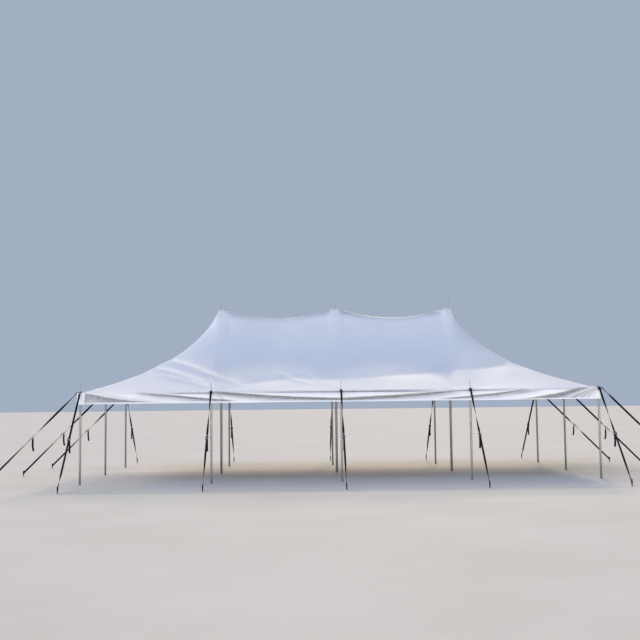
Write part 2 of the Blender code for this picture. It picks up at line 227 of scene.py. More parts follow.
def canopy_height(x, y):
    """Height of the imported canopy's underside above the eave."""
    from_peak = np.min([abs(x - peak) for peak in PEAKS], axis=0)
    patch = PEAK_PATCH_HALF * (1 - smooth_step((from_peak - PEAK_PATCH_HALF) / PEAK_PATCH_FADE))
    long_reach = HALF_LENGTH - HEM_HALF_WIDTH - PEAK_REACH - PEAK_PATCH_HALF
    along = np.maximum(abs(x) - PEAK_REACH - PEAK_PATCH_HALF, 0.0) / long_reach
    across = np.maximum(abs(y) - patch, 0.0) / (HALF_WIDTH - HEM_HALF_WIDTH - patch)
    square = np.minimum(np.maximum(along, across), 1.0)
    squaring = square**HIP_SQUARENESS
    reach = (1 - squaring) * np.hypot(along, across) + squaring * square
    share = (((x + PEAK_REACH) % BAY) - PEAK_PATCH_HALF) / (BAY - 2 * PEAK_PATCH_HALF)
    share = np.where(abs(x) < PEAK_REACH, np.clip(share, 0.0, 1.0), 0.0)
    sag = 4 * share * (1 - share)
    rounding = RIDGE_ROUNDING * sag
    reach = (np.hypot(reach, rounding) - rounding) / (np.hypot(1, rounding) - rounding)
    reach = np.clip(reach, 0.0, 1.0)
    flare = np.log((1 + FLARE_START) / (reach + FLARE_START))
    flare /= math.log((1 + FLARE_START) / FLARE_START)
    fall = STRAIGHT_SHARE * (1 - reach) + (1 - STRAIGHT_SHARE) * flare
    rise = (PEAK_BASE - CANOPY_BASE) * (1 - RIDGE_DIP * sag)
    return np.where(square >= 1, 0.0, rise * fall)


def fan(x, y, spot, lean, count, size, near, far):
    """Shallow creases that radiate from a point where the cloth is held."""
    dx, dy = x - spot[0], y - spot[1]
    r = np.hypot(dx, dy)
    angle = np.arctan2(dy, dx)
    uneven = 0.6 + 0.4 * np.sin(3 * angle + 5 * spot[0] + lean)
    waves = np.cos(count * angle + 2.2 * np.sin(2 * angle + spot[0]))
    return size * uneven * waves * smooth_step(r / near) * bell(r / far)


def distance_to(x, y, start, end):
    """Distance from a segment, and the share of the way along it."""
    run = np.subtract(end, start)
    share = ((x - start[0]) * run[0] + (y - start[1]) * run[1]) / (run @ run)
    held = np.clip(share, 0, 1)
    return np.hypot(x - start[0] - held * run[0], y - start[1] - held * run[1]), share


# Soft folds of the roof in plan: start, end, height and half width
ROOF_FOLDS = (
    ((-4.75, -0.85), (-2.85, -2.34), 0.034, 0.12),
    ((-4.85, -1.35), (-3.30, -2.50), 0.024, 0.10),
    ((-4.45, -1.95), (-3.05, -2.86), 0.018, 0.09),
    ((-3.40, -1.98), (-2.30, -2.66), 0.022, 0.10),
    ((-1.50, -2.00), (-0.55, -2.72), 0.020, 0.08),
    ((-0.95, -1.90), (-0.02, -2.90), 0.018, 0.08),
    ((4.75, 0.95), (3.00, 2.30), 0.026, 0.12),
    ((4.55, 1.70), (3.10, 2.70), 0.020, 0.10),
    ((1.45, 2.05), (0.50, 2.75), 0.018, 0.08),
    ((-1.60, 2.10), (-2.70, 2.80), 0.018, 0.09),
    ((-5.40, 0.75), (-4.10, 1.60), 0.018, 0.10),
    ((5.30, -0.70), (4.30, -1.50), 0.012, 0.10),
)

# Where the steep upper cloth breaks into the flatter skirt: places in plan, and how deep the
# break is there
ROOF_BREAK = (
    (-2.75, -2.66, 0), (-2.45, -2.56, 0.5), (-2.17, -2.48, 1), (-1.69, -2.35, 1),
    (-1.20, -2.25, 1), (-0.60, -2.27, 1), (0.00, -2.33, 1), (0.50, -2.27, 1), (1.20, -2.12, 1),
    (2.00, -2.03, 1), (2.81, -1.90, 1), (3.53, -1.80, 1), (4.15, -1.60, 0.8), (4.60, -1.10, 0.5),
    (4.82, -0.50, 0.4), (4.86, 0.00, 0.4), (4.82, 0.60, 0.4), (4.50, 1.20, 0.5),
    (3.60, 1.85, 0.8), (2.60, 2.00, 1), (1.50, 2.15, 1), (0.50, 2.28, 0.9), (-0.60, 2.24, 1),
    (-1.70, 2.10, 0.9), (-2.80, 1.92, 1), (-3.60, 1.78, 0.9), (-4.20, 1.45, 0.7),
    (-4.60, 0.90, 0.6), (-4.72, 0.30, 0.6), (-4.74, -0.30, 0.4), (-4.70, -0.70, 0),
)
BREAK_DEPTH = 0.050
BREAK_REACH = 0.38
PEAK_CREASE_SPREAD = 0.70


def break_relief(x, y):
    """The cloth sinks towards the break, which makes it steeper above and flatter below."""
    line = np.array(ROOF_BREAK)
    nearest = np.full(x.shape, np.inf)
    depth = np.zeros(x.shape)
    for start, end in zip(line, line[1:]):
        distance, share = distance_to(x, y, start[:2], end[:2])
        closer = distance < nearest
        here = start[2] + (end[2] - start[2]) * np.clip(share, 0, 1)
        depth = np.where(closer, here, depth)
        nearest = np.where(closer, distance, nearest)
    return -BREAK_DEPTH * smooth_step(depth) * np.exp(0.15 - np.hypot(nearest / BREAK_REACH, 0.15))


def spread_relief(x, y):
    """Spreads the creases below the peaks, which are sharp only near the top."""
    inside = smooth_step((PEAK_REACH + 0.6 - abs(x)) / 0.5)
    width = PEAK_CREASE_SPREAD * smooth_step((abs(y) - 0.12) / 1.3) * inside
    steps = np.linspace(-1, 1, 9)
    weights = bell(steps / 0.6) / np.sum(bell(steps / 0.6))
    mean = sum(w * canopy_height(x + width * step, y) for w, step in zip(weights, steps))
    return 0.85 * (mean - canopy_height(x, y))


def roof_relief(x, y):
    """How far the cloth lies off the smooth surface, along its normal."""
    out = 0.0020 * np.sin(2.3 * x + 1.7 * np.sin(1.1 * y)) * np.sin(2.9 * y + 0.8)
    out += 0.0014 * np.sin(5.1 * x + 2.0 * y) * np.sin(3.3 * y - 1.9 * x)
    for i, spot in enumerate(PEAK_PINS):
        out += fan(x, y, spot, 1.3 * i, 12, 0.0016, 0.22, 0.85)
    for i, spot in enumerate(SIDE_PINS):
        out += fan(x, y, spot, 0.7 * i, 11, 0.0050, 0.16, 0.75)
    for start, end, size, width in ROOF_FOLDS:
        distance, share = distance_to(x, y, start, end)
        taper = np.sqrt(np.clip(4 * share * (1 - share), 0, 1))
        out += size * taper * bell(distance / width)
    out += break_relief(x, y) + spread_relief(x, y)
    return out * smooth_step((from_edge(x, y) - 0.075) / 0.225)


def roof_point(x, y, lift=0.0):
    """Place of the cloth's lower face over a point of the plan, lifted along the normal."""
    step = 0.004
    slope_x = (canopy_height(x + step, y) - canopy_height(x - step, y)) / (2 * step)
    slope_y = (canopy_height(x, y + step) - canopy_height(x, y - step)) / (2 * step)
    long = np.sqrt(slope_x**2 + slope_y**2 + 1)
    # The cloth is double at the welded seams and the hem
    seam = np.min([abs(x - s) for s in SEAMS], axis=0) < SEAM_HALF + 0.0005
    hem = from_edge(x, y) < ROOF_HEM + 0.0005
    off = (VINYL_LIFT + roof_relief(x, y) + WELD * (seam | hem) + lift) / long
    z = CANOPY_BASE + canopy_height(x, y) + off
    return np.stack([x - slope_x * off, y - slope_y * off, z], axis=-1)


# The hanging edge. A fold is a row of points: place along the side in metres, then in millimetres
# the depth below the eave, how far the cloth bulges there and the fold's half width, and if need
# be how dark the painted shade on the cloth below it is.
FRONT_FOLDS = (
    ((-6.00, -90, 4, 65, 1.3), (-5.69, -30, 6, 65, 1.4), (-5.50, 15, 8, 62, 1.5),
     (-5.27, 68, 10, 55, 1.5), (-4.94, 130, 10, 45, 1.3), (-4.47, 178, 8, 34, 1),
     (-4.00, 215, 0, 25, 0)),
    ((-4.90, 0, 0, 18), (-4.60, 20, 8, 16), (-4.25, 75, 9, 18), (-4.00, 110, 0, 18)),
    ((-4.90, -10, 0, 18), (-4.70, 4, 10, 18), (-4.12, 50, 26, 22), (-3.66, 102, 34, 24),
     (-3.17, 152, 30, 24), (-2.70, 190, 22, 22), (-2.40, 210, 0, 20)),
    ((-3.02, -10, 20, 16, 0.9), (-2.70, 14, 34, 18, 1.6), (-2.37, 40, 38, 22, 1.6),
     (-1.67, 100, 42, 27, 1.2), (-0.97, 143, 44, 28, 1), (-0.03, 180, 36, 26, 0.8),
     (0.10, 176, 38, 28, 0.6), (0.68, 150, 46, 34, 0.6), (1.38, 118, 46, 32, 0.8),
     (2.09, 68, 36, 27, 1), (2.68, 20, 14, 18, 0.9), (2.99, -10, 0, 16, 0)),
    ((-2.98, 0, 0, 12), (-2.90, 60, 10, 12), (-2.75, 150, 12, 12), (-2.68, 215, 0, 12)),
    ((2.15, 235, 0, 18), (2.45, 214, 18, 18), (2.75, 186, 24, 18), (3.05, 157, 26, 20),
     (3.75, 92, 30, 22), (4.22, 25, 24, 18), (4.60, 0, 0, 16)),
    ((3.90, 130, 0, 16), (4.25, 78, 12, 16), (4.60, 30, 14, 16), (4.95, -10, 0, 16)),
    ((3.90, 265, 0, 30, 0), (4.45, 235, 36, 34, 1.2), (5.17, 118, 50, 42, 1.1),
     (5.55, 20, 40, 32, 0.8), (5.86, -50, 20, 24, 0.4)),
    ((5.30, 270, 10, 18), (5.46, 220, 20, 16), (5.76, 80, 18, 13), (5.96, 0, 10, 12)),
    ((5.52, 290, 10, 16), (5.64, 235, 18, 14), (5.87, 80, 16, 11), (6.00, 0, 10, 10)),
    ((5.70, 290, 10, 16), (5.79, 235, 16, 13), (5.95, 80, 14, 10), (6.04, 0, 8, 10)),
    ((5.87, 290, 10, 14), (5.93, 230, 14, 12), (6.02, 90, 10, 10), (6.07, 0, 0, 10)),
)
BACK_FOLDS = (
    ((-5.95, 0, 6, 18), (-5.40, 75, 28, 26), (-4.60, 150, 38, 30), (-3.60, 190, 34, 28),
     (-3.05, 196, 30, 26), (-2.20, 165, 40, 30), (-1.30, 100, 36, 28), (-0.50, 25, 14, 20),
     (-0.10, -10, 0, 18)),
    ((-0.30, 230, 0, 20), (0.10, 200, 18, 18), (1.00, 110, 24, 20), (1.90, 15, 8, 16),
     (2.20, -10, 0, 16)),
    ((0.70, 240, 0, 20), (1.30, 205, 24, 24), (2.20, 110, 36, 26), (2.95, 0, 8, 18)),
    ((3.10, 0, 6, 18), (3.70, 60, 28, 24), (4.50, 130, 40, 30), (5.40, 190, 30, 30),
     (6.00, 225, 6, 24)),
    ((4.40, -10, 0, 18), (4.90, 40, 18, 18), (5.50, 100, 20, 18), (6.00, 165, 0, 18)),
)
LEFT_FOLDS = (
    ((-2.95, 0, 4, 16), (-2.40, 75, 28, 24), (-1.60, 145, 40, 28), (-0.70, 185, 36, 28),
     (0.00, 196, 30, 26), (0.80, 165, 38, 30), (1.70, 90, 32, 26), (2.60, 10, 8, 18),
     (2.90, -10, 0, 16)),
    ((1.10, 240, 0, 20), (1.70, 200, 20, 20), (2.40, 110, 24, 20), (2.98, 10, 0, 16)),
)
RIGHT_FOLDS = (
    ((-2.98, 0, 4, 16), (-2.30, 90, 30, 24), (-1.30, 165, 42, 30), (-0.30, 200, 30, 26),
     (0.20, 210, 0, 24)),
    ((-0.10, 215, 0, 20), (0.50, 180, 28, 24), (1.40, 100, 38, 28), (2.40, 15, 10, 18),
     (2.80, -10, 0, 16)),
    ((-1.90, -10, 0, 16), (-1.30, 45, 16, 16), (-0.60, 100, 18, 16), (-0.05, 150, 0, 16)),
)

# How dark the painted shadow line under the roof's edge is along the front
FRONT_EDGE_SHADOW = (
    (-6.1, 0.5), (-5.8, 0.2), (-4.3, 0.15), (-3.8, 0.6), (-3.05, 1), (-2.7, 0.5), (-2.35, 0.1),
    (-1.9, 0.3), (-1.3, 0.75), (-0.5, 0.9), (0, 1), (1.2, 1), (1.8, 0.7), (2.3, 0.3), (2.6, 0.7),
    (3.05, 1), (3.5, 0.7), (3.9, 0.35), (4.4, 0.05), (5.2, 0.1), (5.8, 0.4), (6.1, 0.5),
)


def fold_tracks(folds):
    """Each fold's depth, bulge, width and painted shade as smooth curves along its side, in metres.
    """
    tracks = []
    kernel = bell(np.linspace(-2, 2, 21))
    kernel /= kernel.sum()
    at = np.arange(-6.6, 6.6, 0.02)
    for fold in folds:
        u, depth, bulge, width, *shade = np.array(fold, dtype=float).T
        depth, bulge, width = depth / 1000, bulge / 1000, width / 1000
        shade = shade[0] if shade else np.minimum(bulge / 0.030, 1)
        curves = [np.interp(at, u, depth), np.interp(at, u, bulge, left=0, right=0)]
        curves += [np.interp(at, u, width), np.interp(at, u, shade, left=0, right=0)]
        tracks.append([np.convolve(np.pad(c, 10, "edge"), kernel, "valid") for c in curves])
    return at, tracks


# Each side: the outward direction, the distance of its face from the centre, its folds and poles
SIDES = {
    "front": (Vector((0, -1, 0)), EDGE_Y, fold_tracks(FRONT_FOLDS), LONG_POLES),
    "back": (Vector((0, 1, 0)), EDGE_Y, fold_tracks(BACK_FOLDS), LONG_POLES),
    "left": (Vector((-1, 0, 0)), EDGE_X, fold_tracks(LEFT_FOLDS), WIDE_POLES),
    "right": (Vector((1, 0, 0)), EDGE_X, fold_tracks(RIGHT_FOLDS), WIDE_POLES),
}


def hang(side, u, s):
    """How far the cloth stands out, how far it hangs down, and its painted shade, at u along and s
    down.
    """
    _, _, (at, folds), poles = SIDES[side]
    out, droop, dust_and_shade = np.zeros_like(s), np.zeros_like(s), np.zeros_like(s)
    clear = 1 - 0.7 * np.max([bell((u - p) / 0.12) for p in poles], axis=0)
    for fold in folds:
        depth, bulge, width, shade = (np.interp(u, at, curve) for curve in fold)
        # Across a fold: a slow swell, a lip that turns under, and a quick return below it
        t = (s - depth) / (1.65 * width) + 0.72
        swell = np.where(t < 0, bell(t / 2.2), bell(t / 0.9))
        out += bulge * (swell - clear * 0.45 * bell((t - 1.55) / 0.62))
        droop += 0.5 * bulge * bell((t - 0.35) / 0.7)
        # Painted shadow: a dark line under the fold's lip; below it painted shade, where the cloth
        # turns away from the light
        lip = smooth_step((t + 0.2) / 1.5) * (1 - smooth_step((t - 1.75) / 0.35))
        dust_and_shade += bulge / 0.026 * lip
        dust_and_shade += 0.70 * shade * smooth_step((t - 1.5) / 0.4) * bell((t - 1.6) / 2.6)
    held = smooth_step((s + 0.004) / 0.05)
    down = s / VALANCE_DROP
    out = out * held + 0.004 * down**2 * np.sin(3.7 * u + 1.0) + 0.002 * down * np.sin(8.9 * u)
    out += 0.006 * smooth_step((s - VALANCE_DROP + 0.05) / 0.05)
    drop = s + droop * held * (1 - smooth_step((s - VALANCE_DROP + 0.04) / 0.03))
    drop += 0.0025 * down**2 * np.sin(2.1 * u + 0.5)
    return out, drop, np.clip(dust_and_shade, 0, 1)


def edge_shadow(side, u):
    """How dark the painted shadow line under the roof's edge is: darker by the poles, where the roof
    is pulled.
    """
    if side == "front":
        return np.interp(u, *np.array(FRONT_EDGE_SHADOW).T)
    return np.max([bell((u - p) / 1.25) for p in SIDES[side][3][1:-1]], axis=0)


def side_point(side, u, out, z):
    """A point by a side's face: u along it in world X or Y, out from the face, and its height."""
    normal, reach, _, _ = SIDES[side]
    if normal.y:
        return np.stack([u, normal.y * (reach + out), z], axis=-1)
    return np.stack([normal.x * (reach + out), u, z], axis=-1)


# Profile of the roof's turned-down edge: depth, rise above that depth, and how far it is set out
LIP_PROFILE = np.array(
    [(0.0, 0.0008, -0.004), (0.005, 0, 0), (0.012, 0, 0), (0.020, 0, 0), (0.028, 0, 0)]
)


def lip_strip(side, u):
    """Points of the roof's edge, turned down over the valance, with its painted shade: the shadow
    line under the edge and the folds' shade.
    """
    depth, rise, inset = LIP_PROFILE.T
    poles = SIDES[side][3]
    wide_u, wide_s = np.meshgrid(u, depth, indexing="ij")
    out, drop, dust_and_shade = hang(side, wide_u, wide_s)
    fade = smooth_step((abs(u[-1]) + LIP_INSET - abs(u)) / 0.10)[:, None]
    # A painted shadow line on the turned-down edge, darker by the poles, and with it the folds'
    # painted shade
    pulled = 0.55 * edge_shadow(side, wide_u) * smooth_step((wide_s - 0.003) / 0.016)
    # The edge stands off the valance more beside the poles, where it is pulled
    gap = 0.0032 + 0.016 * np.max([bell((wide_u - p) / 0.95) for p in poles], axis=0)
    placed = side_point(side, wide_u, out * fade + gap + inset, CANOPY_BASE - drop + rise)
    return placed, (fade * np.maximum(pulled, 0.9 * dust_and_shade)).ravel()


def canopy_lines(edge, pins, fine_by, spread, stops=()):
    """The roof's grid lines along one way: at the pins' holes, the hem and other stops, and
    between them in steps that are finer by some of the poles."""
    holes = [p + d for p in pins for d in (-PIN_HOLE_HALF, PIN_HOLE_HALF)]
    rims = [sign * (edge - d) for sign in (-1, 1) for d in (ROOF_HEM, ROOF_HEM + 0.0025, 0.03)]

    def step_at(v):
        near = min(abs(v - p) for p in fine_by)
        return FINE_STEP if near < 0.16 else MIDDLE_STEP if near < 0.5 else spread

    return grid_lines(LIP_INSET - edge, edge - LIP_INSET, [*holes, *stops, *rims], step_at)


def make_canopy(material):
    """The roof as one sheet: a fine grid over the plan, its edge turned down over the valance."""
    welds = [s + d * side for s in SEAMS for side in (-1, 1) for d in (SEAM_HALF, 0.0225, 0.034)]
    xs = canopy_lines(EDGE_X, LONG_POLES, PEAKS, LONG_STEP, welds)
    ys = canopy_lines(EDGE_Y, WIDE_POLES, WIDE_POLES, WIDE_STEP)
    grid_x, grid_y = np.meshgrid(xs, ys, indexing="ij")
    points = [roof_point(grid_x, grid_y).reshape(-1, 3)]
    index = np.arange(grid_x.size).reshape(grid_x.shape)
    quads = grid_quads(index)
    centre_x, centre_y = (grid.ravel()[quads].mean(axis=1) for grid in (grid_x, grid_y))
    keep = np.ones(len(quads), dtype=bool)
    for x, y in (*SIDE_PINS, *PEAK_PINS):
        keep &= np.maximum(abs(centre_x - x), abs(centre_y - y)) > PIN_HOLE_HALF
    faces = list(quads[keep])
    rims = {"front": (xs, index[:, 0]), "back": (xs, index[:, -1]),
            "left": (ys, index[0, :]), "right": (ys, index[-1, :])}
    count, strips, lip_shade = grid_x.size, {}, []
    for side, (u, rim) in rims.items():
        placed, dust_and_shade = lip_strip(side, u)
        lip = count + np.arange(dust_and_shade.size).reshape(placed.shape[:2])
        count += dust_and_shade.size
        points.append(placed.reshape(-1, 3))
        lip_shade.append(dust_and_shade)
        strips[side] = np.concatenate([rim[:, None], lip], axis=1)
        faces += list(grid_quads(strips[side]))
    for long, at, wide, end in (("front", 0, "left", 0), ("front", -1, "right", 0),
                                ("back", 0, "left", -1), ("back", -1, "right", -1)):
        first, second = strips[long][at], strips[wide][end]
        for i in range(len(first) - 1):
            corners = (first[i], first[i + 1], second[i + 1], second[i])
            faces.append(tuple(dict.fromkeys(int(c) for c in corners)))
    points, lip_shade = np.concatenate(points), np.concatenate(lip_shade)
    x, y = points[:, 0], points[:, 1]
    pins = (*SIDE_PINS, *PEAK_PINS)
    near_pin = np.max([bell(np.hypot(x - px, y - py) / 0.05) for px, py in pins], axis=0)
    # Dust all over, near the edge and round the pins, and painted shade along the ridge, which
    # darkens the rim the lamps light
    ridge_shade_mask = bell(y / 0.10) * smooth_step((PEAK_REACH - 0.1 - abs(x)) / 0.3)
    dust_and_shade = ROOF_DUST + 0.10 * bell(from_edge(x, y) / 0.10) + 0.4 * near_pin + RIDGE_SHADE * ridge_shade_mask
    # The turned-down edge takes its painted shadow line and the folds' painted shade
    lips = slice(-len(lip_shade), None)
    dust_and_shade[lips] = np.maximum(dust_and_shade[lips], lip_shade)
    nodes = [f"canopy_panel_{side}_{i}" for side in ("front", "back") for i in range(1, 5)]
    return add_sheet("canopy_top", points, dust_and_shade, material, (0, 0, 1), VINYL, nodes, faces)


def make_valance(side, material):
    """One hanging strip, with its folds and its hem."""
    normal = SIDES[side][0]
    long = EDGE_X if normal.y else EDGE_Y
    end = long - (0.002 if normal.y else 0.0065)
    u = np.linspace(-end, end, int(2 * end / VALANCE_STEP) + 1)
    hem = VALANCE_DROP - np.array([0.0205, 0.020, 0.010, 0.0])
    s = np.concatenate([[0.004, 0.012, 0.020], np.linspace(0.027, VALANCE_DROP - 0.024, 44), hem])
    wide_u, wide_s = np.meshgrid(u, s, indexing="ij")
    out, drop, dust_and_shade = hang(side, wide_u, wide_s)
    fade = smooth_step((end - abs(wide_u)) / 0.07)
    out = out * fade - 0.0025 + np.where(wide_s > VALANCE_DROP - 0.0202, 0.0008, 0.0)
    points = side_point(side, wide_u, out, EAVE_HEIGHT - drop)
    # A painted shadow line just under the roof's edge, with fainter painted shade below it
    below = smooth_step((wide_s - 0.036) / 0.01)
    under_edge_shadow = bell((wide_s - 0.037) / 0.015) + 0.30 * below * bell((wide_s - 0.036) / 0.055)
    dust_and_shade = np.maximum(dust_and_shade * fade, edge_shadow(side, wide_u) * under_edge_shadow)
    # The hem is kept clear of painted shade
    dust_and_shade *= 1 - 0.9 * smooth_step((wide_s - VALANCE_DROP + 0.040) / 0.012)
    nodes = [f"valance_{side}"]
    name = f"cloth_valance_{side}"
    cloth = add_sheet(name, points, dust_and_shade, material, normal, -VALANCE_CLOTH, nodes)


# Plan of a corner lap, from the end round the corner: places along the long side and away from it
FLAP_PATH = np.array([(0.006, -0.16), (0.012, -0.09), (0.022, -0.028), (0.019, 0.008),
                      (-0.016, 0.020), (-0.080, 0.024), (-0.130, 0.025), (-0.172, 0.025)])


def make_corner_flap(name, corner_x, corner_y, material):
    """The end strip's loose lap, wrapped round a corner onto the long side."""
    sx, sy = math.copysign(1, corner_x), math.copysign(1, corner_y)
    path = resample(FLAP_PATH, 22)
    s = np.linspace(0.006, VALANCE_DROP + 0.008, 30)
    share, depth = np.meshgrid(np.linspace(0, 1, len(path)), s, indexing="ij")
    down = depth / VALANCE_DROP
    loose = smooth_step((share - 0.45) / 0.55)
    proud = (0.25 + 0.75 * loose) * (0.012 + 0.105 * down)
    proud += 0.004 * np.sin(9 * share + 3 * down) * down
    proud *= smooth_step((share - 0.30) / 0.20)
    side = 0.022 * down * bell((share - 0.48) / 0.20)
    x = corner_x + sx * (path[:, :1] + side)
    y = corner_y + sy * (path[:, 1:] + proud)
    z = EAVE_HEIGHT - depth + 0.004 * np.sin(5 * share) * down
    points = np.stack([x, y, z], axis=-1)
    dust_and_shade = np.where(depth > s[-3], 0.12, 0.0)
    flap = add_sheet(name, points, dust_and_shade, material, (sx, sy, 0), -VALANCE_CLOTH)


def resample(path, count):
    """Points at even steps along a smooth curve through the path's points."""
    dense = []
    ext = np.vstack([2 * path[0] - path[1], path, 2 * path[-1] - path[-2]])
    for i in range(1, len(ext) - 2):
        p0, p1, p2, p3 = ext[i - 1 : i + 3]
        for t in np.linspace(0, 1, 16, endpoint=False):
            a = 2 * p1 + (p2 - p0) * t + (2 * p0 - 5 * p1 + 4 * p2 - p3) * t**2
            dense.append((a + (3 * p1 - p0 - 3 * p2 + p3) * t**3) / 2)
    dense = np.array([*dense, path[-1]])
    length = np.concatenate([[0], np.cumsum(np.linalg.norm(np.diff(dense, axis=0), axis=1))])
    even = np.linspace(0, length[-1], count)
    return np.stack([np.interp(even, length, column) for column in dense.T], axis=-1)


def make_patch(name, spot, radius, material, soiled=0.0):
    """A round reinforcing patch welded on the roof round a pin, cut off at the roof's edge."""
    rings, spokes, inner = 7, 48, PIN_RADIUS + 0.004
    points = []
    for i in range(rings + 1):
        for angle in np.linspace(0, 2 * math.pi, spokes, endpoint=False):
            way = (math.cos(angle), math.sin(angle))
            outer = [edge - PATCH_MARGIN - abs(at) * math.copysign(1, w * (at or w))
                     for edge, at, w in zip((EDGE_X, EDGE_Y), spot, way)]
            limit = min(radius, *(room / abs(w) for room, w in zip(outer, way) if w))
            r = inner + (limit - inner) * i / rings
            points.append((spot[0] + r * way[0], spot[1] + r * way[1]))
    placed = roof_point(*np.array(points).T, VINYL + WELD)
    index = np.arange(len(points)).reshape(rings + 1, spokes)
    faces = grid_quads(np.concatenate([index, index[:, :1]], axis=1))
    rim = np.repeat(np.linspace(0, 1, rings + 1), spokes)
    dust_and_shade = ROOF_DUST + 0.02 * bell((rim - 1) / 0.15) + 0.35 * bell(rim / 0.20) + soiled
    patch = add_sheet(name, placed, dust_and_shade, material, (0, 0, 1), PATCH_CLOTH, faces=faces)


# Solid pieces


def skin(bm, rows, slot, closed=False, capped=False):
    """Joins rings of corners with faces, one ring to the next. A ring of one corner is a tip."""
    faces = []
    for near, far in zip(rows, rows[1:] + rows[:1] if closed else rows[1:]):
        count = max(len(near), len(far))
        for k in range(count):
            n = (k + 1) % count
            steps = ((near, k), (far, k), (far, n), (near, n))
            corners = list(dict.fromkeys(ring[i % len(ring)] for ring, i in steps))
            if len(corners) > 2:
                faces.append(bm.faces.new(corners))
    for face in faces:
        face.smooth = True
    if capped:
        faces += [bm.faces.new(rows[0]), bm.faces.new(rows[-1][::-1])]
    for face in faces:
        face.material_index = slot
    return faces


def lathe(bm, profile, steps, matrix=Matrix(), closed=False, wobble=None, slot=0):
    """Adds a turned solid from its outline of radius and height, listed from the top down."""
    rows = []
    for radius, z in profile:
        row = []
        for angle in np.linspace(0, 2 * math.pi, steps if radius else 1, endpoint=False):
            r = radius * (wobble(angle, z) if wobble else 1)
            row.append(bm.verts.new(matrix @ Vector((r * math.cos(angle), r * math.sin(angle), z))))
        rows.append(row)
    skin(bm, rows, slot, closed)


def bmesh_to_mesh(bm, name, materials, sharp=0.6):
    """A finished mesh with its sharp edges marked."""
    bmesh.ops.recalc_face_normals(bm, faces=bm.faces)
    for edge in bm.edges:
        if len(edge.link_faces) == 2:
            edge.smooth = edge.calc_face_angle(0) < sharp
    mesh = bpy.data.meshes.new(name)
    bm.to_mesh(mesh)
    bm.free()
    for material in materials:
        mesh.materials.append(material)
    return mesh


def facing(at, outward):
    """A frame at a place with its Z outwards."""
    return Matrix.Translation(at) @ outward.to_track_quat("Z", "Y").to_matrix().to_4x4()


def pole_mesh(name, radius, height, materials):
    """A tube with its foot, its top plug, and the pin that goes up through the roof."""
    top = height + SEAT_GAP + CANOPY_THICKNESS + PIN_ABOVE_CANOPY
    foot, low, sections = radius + FOOT_EXTRA_RADIUS, 0.030, 12
    bm = bmesh.new()
    tip = ((0.35, -0.0004), (0.75, -0.0022), (0.96, -0.0055), (1.0, -0.009))
    profile = [(0, top)] + [(share * PIN_RADIUS, top + z) for share, z in tip]
    shoulder = ((0, 0.004), (0.0004, 0.0012), (0.0012, -0.0002))
    profile += [(PIN_RADIUS + r, height + z) for r, z in shoulder]
    plug = ((-0.0030, -0.0002), (-0.0012, -0.0008), (-0.0002, -0.0025), (0, -0.012),
            (-0.0001, -0.013), (-0.0008, -0.0134), (-0.0008, -0.0146), (-0.0001, -0.015))
    profile += [(radius + r, height + z) for r, z in plug]
    profile += [(radius, z) for z in np.linspace(height - 0.016, low, sections + 1)]
    collar = ((0.0004, 0.012), (0.0012, 0.006), (0.0028, 0.0016), (0.0042, 0))
    profile += [(radius + r, FOOT_THICKNESS + z) for r, z in collar]
    rim = ((-0.0016, 0), (-0.0004, -0.0006), (0, -0.002))
    profile += [(foot + r, FOOT_THICKNESS + z) for r, z in rim]
    profile += [(foot, 0.0012), (foot - 0.0006, 0.0), (0, 0.0)]
    lathe(bm, profile, 32)
    # Rivets in the plug and the foot
    r, h = 0.0045, 0.0022
    head = [(0, h), (0.55 * r, 0.82 * h), (0.9 * r, 0.4 * h), (r, -0.002), (0, -0.002)]
    for z in (height - 0.030, 0.055):
        for angle in (0.6, 0.6 + math.pi):
            outward = Vector((math.cos(angle), math.sin(angle), 0))
            lathe(bm, head, 12, facing(outward * radius + Vector((0, 0, z)), outward))
    return bmesh_to_mesh(bm, name, materials, 0.5)


def grommet_mesh(materials):
    """A rolled metal eyelet, drawn round the origin with the cloth's upper face at zero."""
    bm = bmesh.new()
    low = -VINYL - 0.0009
    profile = [(0.0080, -0.0001), (0.0084, 0.0009), (0.0098, 0.0014), (0.0130, 0.0011),
               (0.0175, 0.0006), (0.0188, 0.0001), (0.0188, low + 0.0003), (0.0180, low - 0.0003),
               (0.0120, low - 0.0006), (0.0090, low - 0.0004), (0.0080, low + 0.0003)]
    lathe(bm, profile, 36, closed=True)
    return bmesh_to_mesh(bm, "grommet", materials, 0.9)


def stake_mesh(materials):
    """A driven round steel stake, its head spread and nicked by the hammer."""
    bm = bmesh.new()

    def battered(angle, z):
        high = smooth_step((z - 0.125) / 0.02)
        spot = Vector((math.cos(angle) * 3, math.sin(angle) * 3, z * 60))
        return 1 + (0.010 + 0.055 * float(high)) * noise.noise(spot)

    head = ((0, -0.0012), (0.45, -0.0004), (0.70, -0.0008), (0.86, -0.0024), (0.97, -0.0056),
            (1.0, -0.0085), (0.975, -0.0118), (0.90, -0.0148), (0.80, -0.0166))
    neck = ((0.0012, -0.0182), (0.0003, -0.0215), (0, -0.028))
    profile = [(share * STAKE_HEAD_RADIUS, STAKE_HEIGHT + z) for share, z in head]
    profile += [(STAKE_RADIUS + r, STAKE_HEIGHT + z) for r, z in neck]
    profile += [(STAKE_RADIUS, z) for z in np.linspace(STAKE_HEIGHT - 0.040, 0.0, 9)]
    lathe(bm, [*profile, (0, 0.0)], 28, wobble=battered)
    return bmesh_to_mesh(bm, "stake_dressed", materials, 0.9)


# Straps and ratchets, drawn with X outwards from the pole's axis and Z up


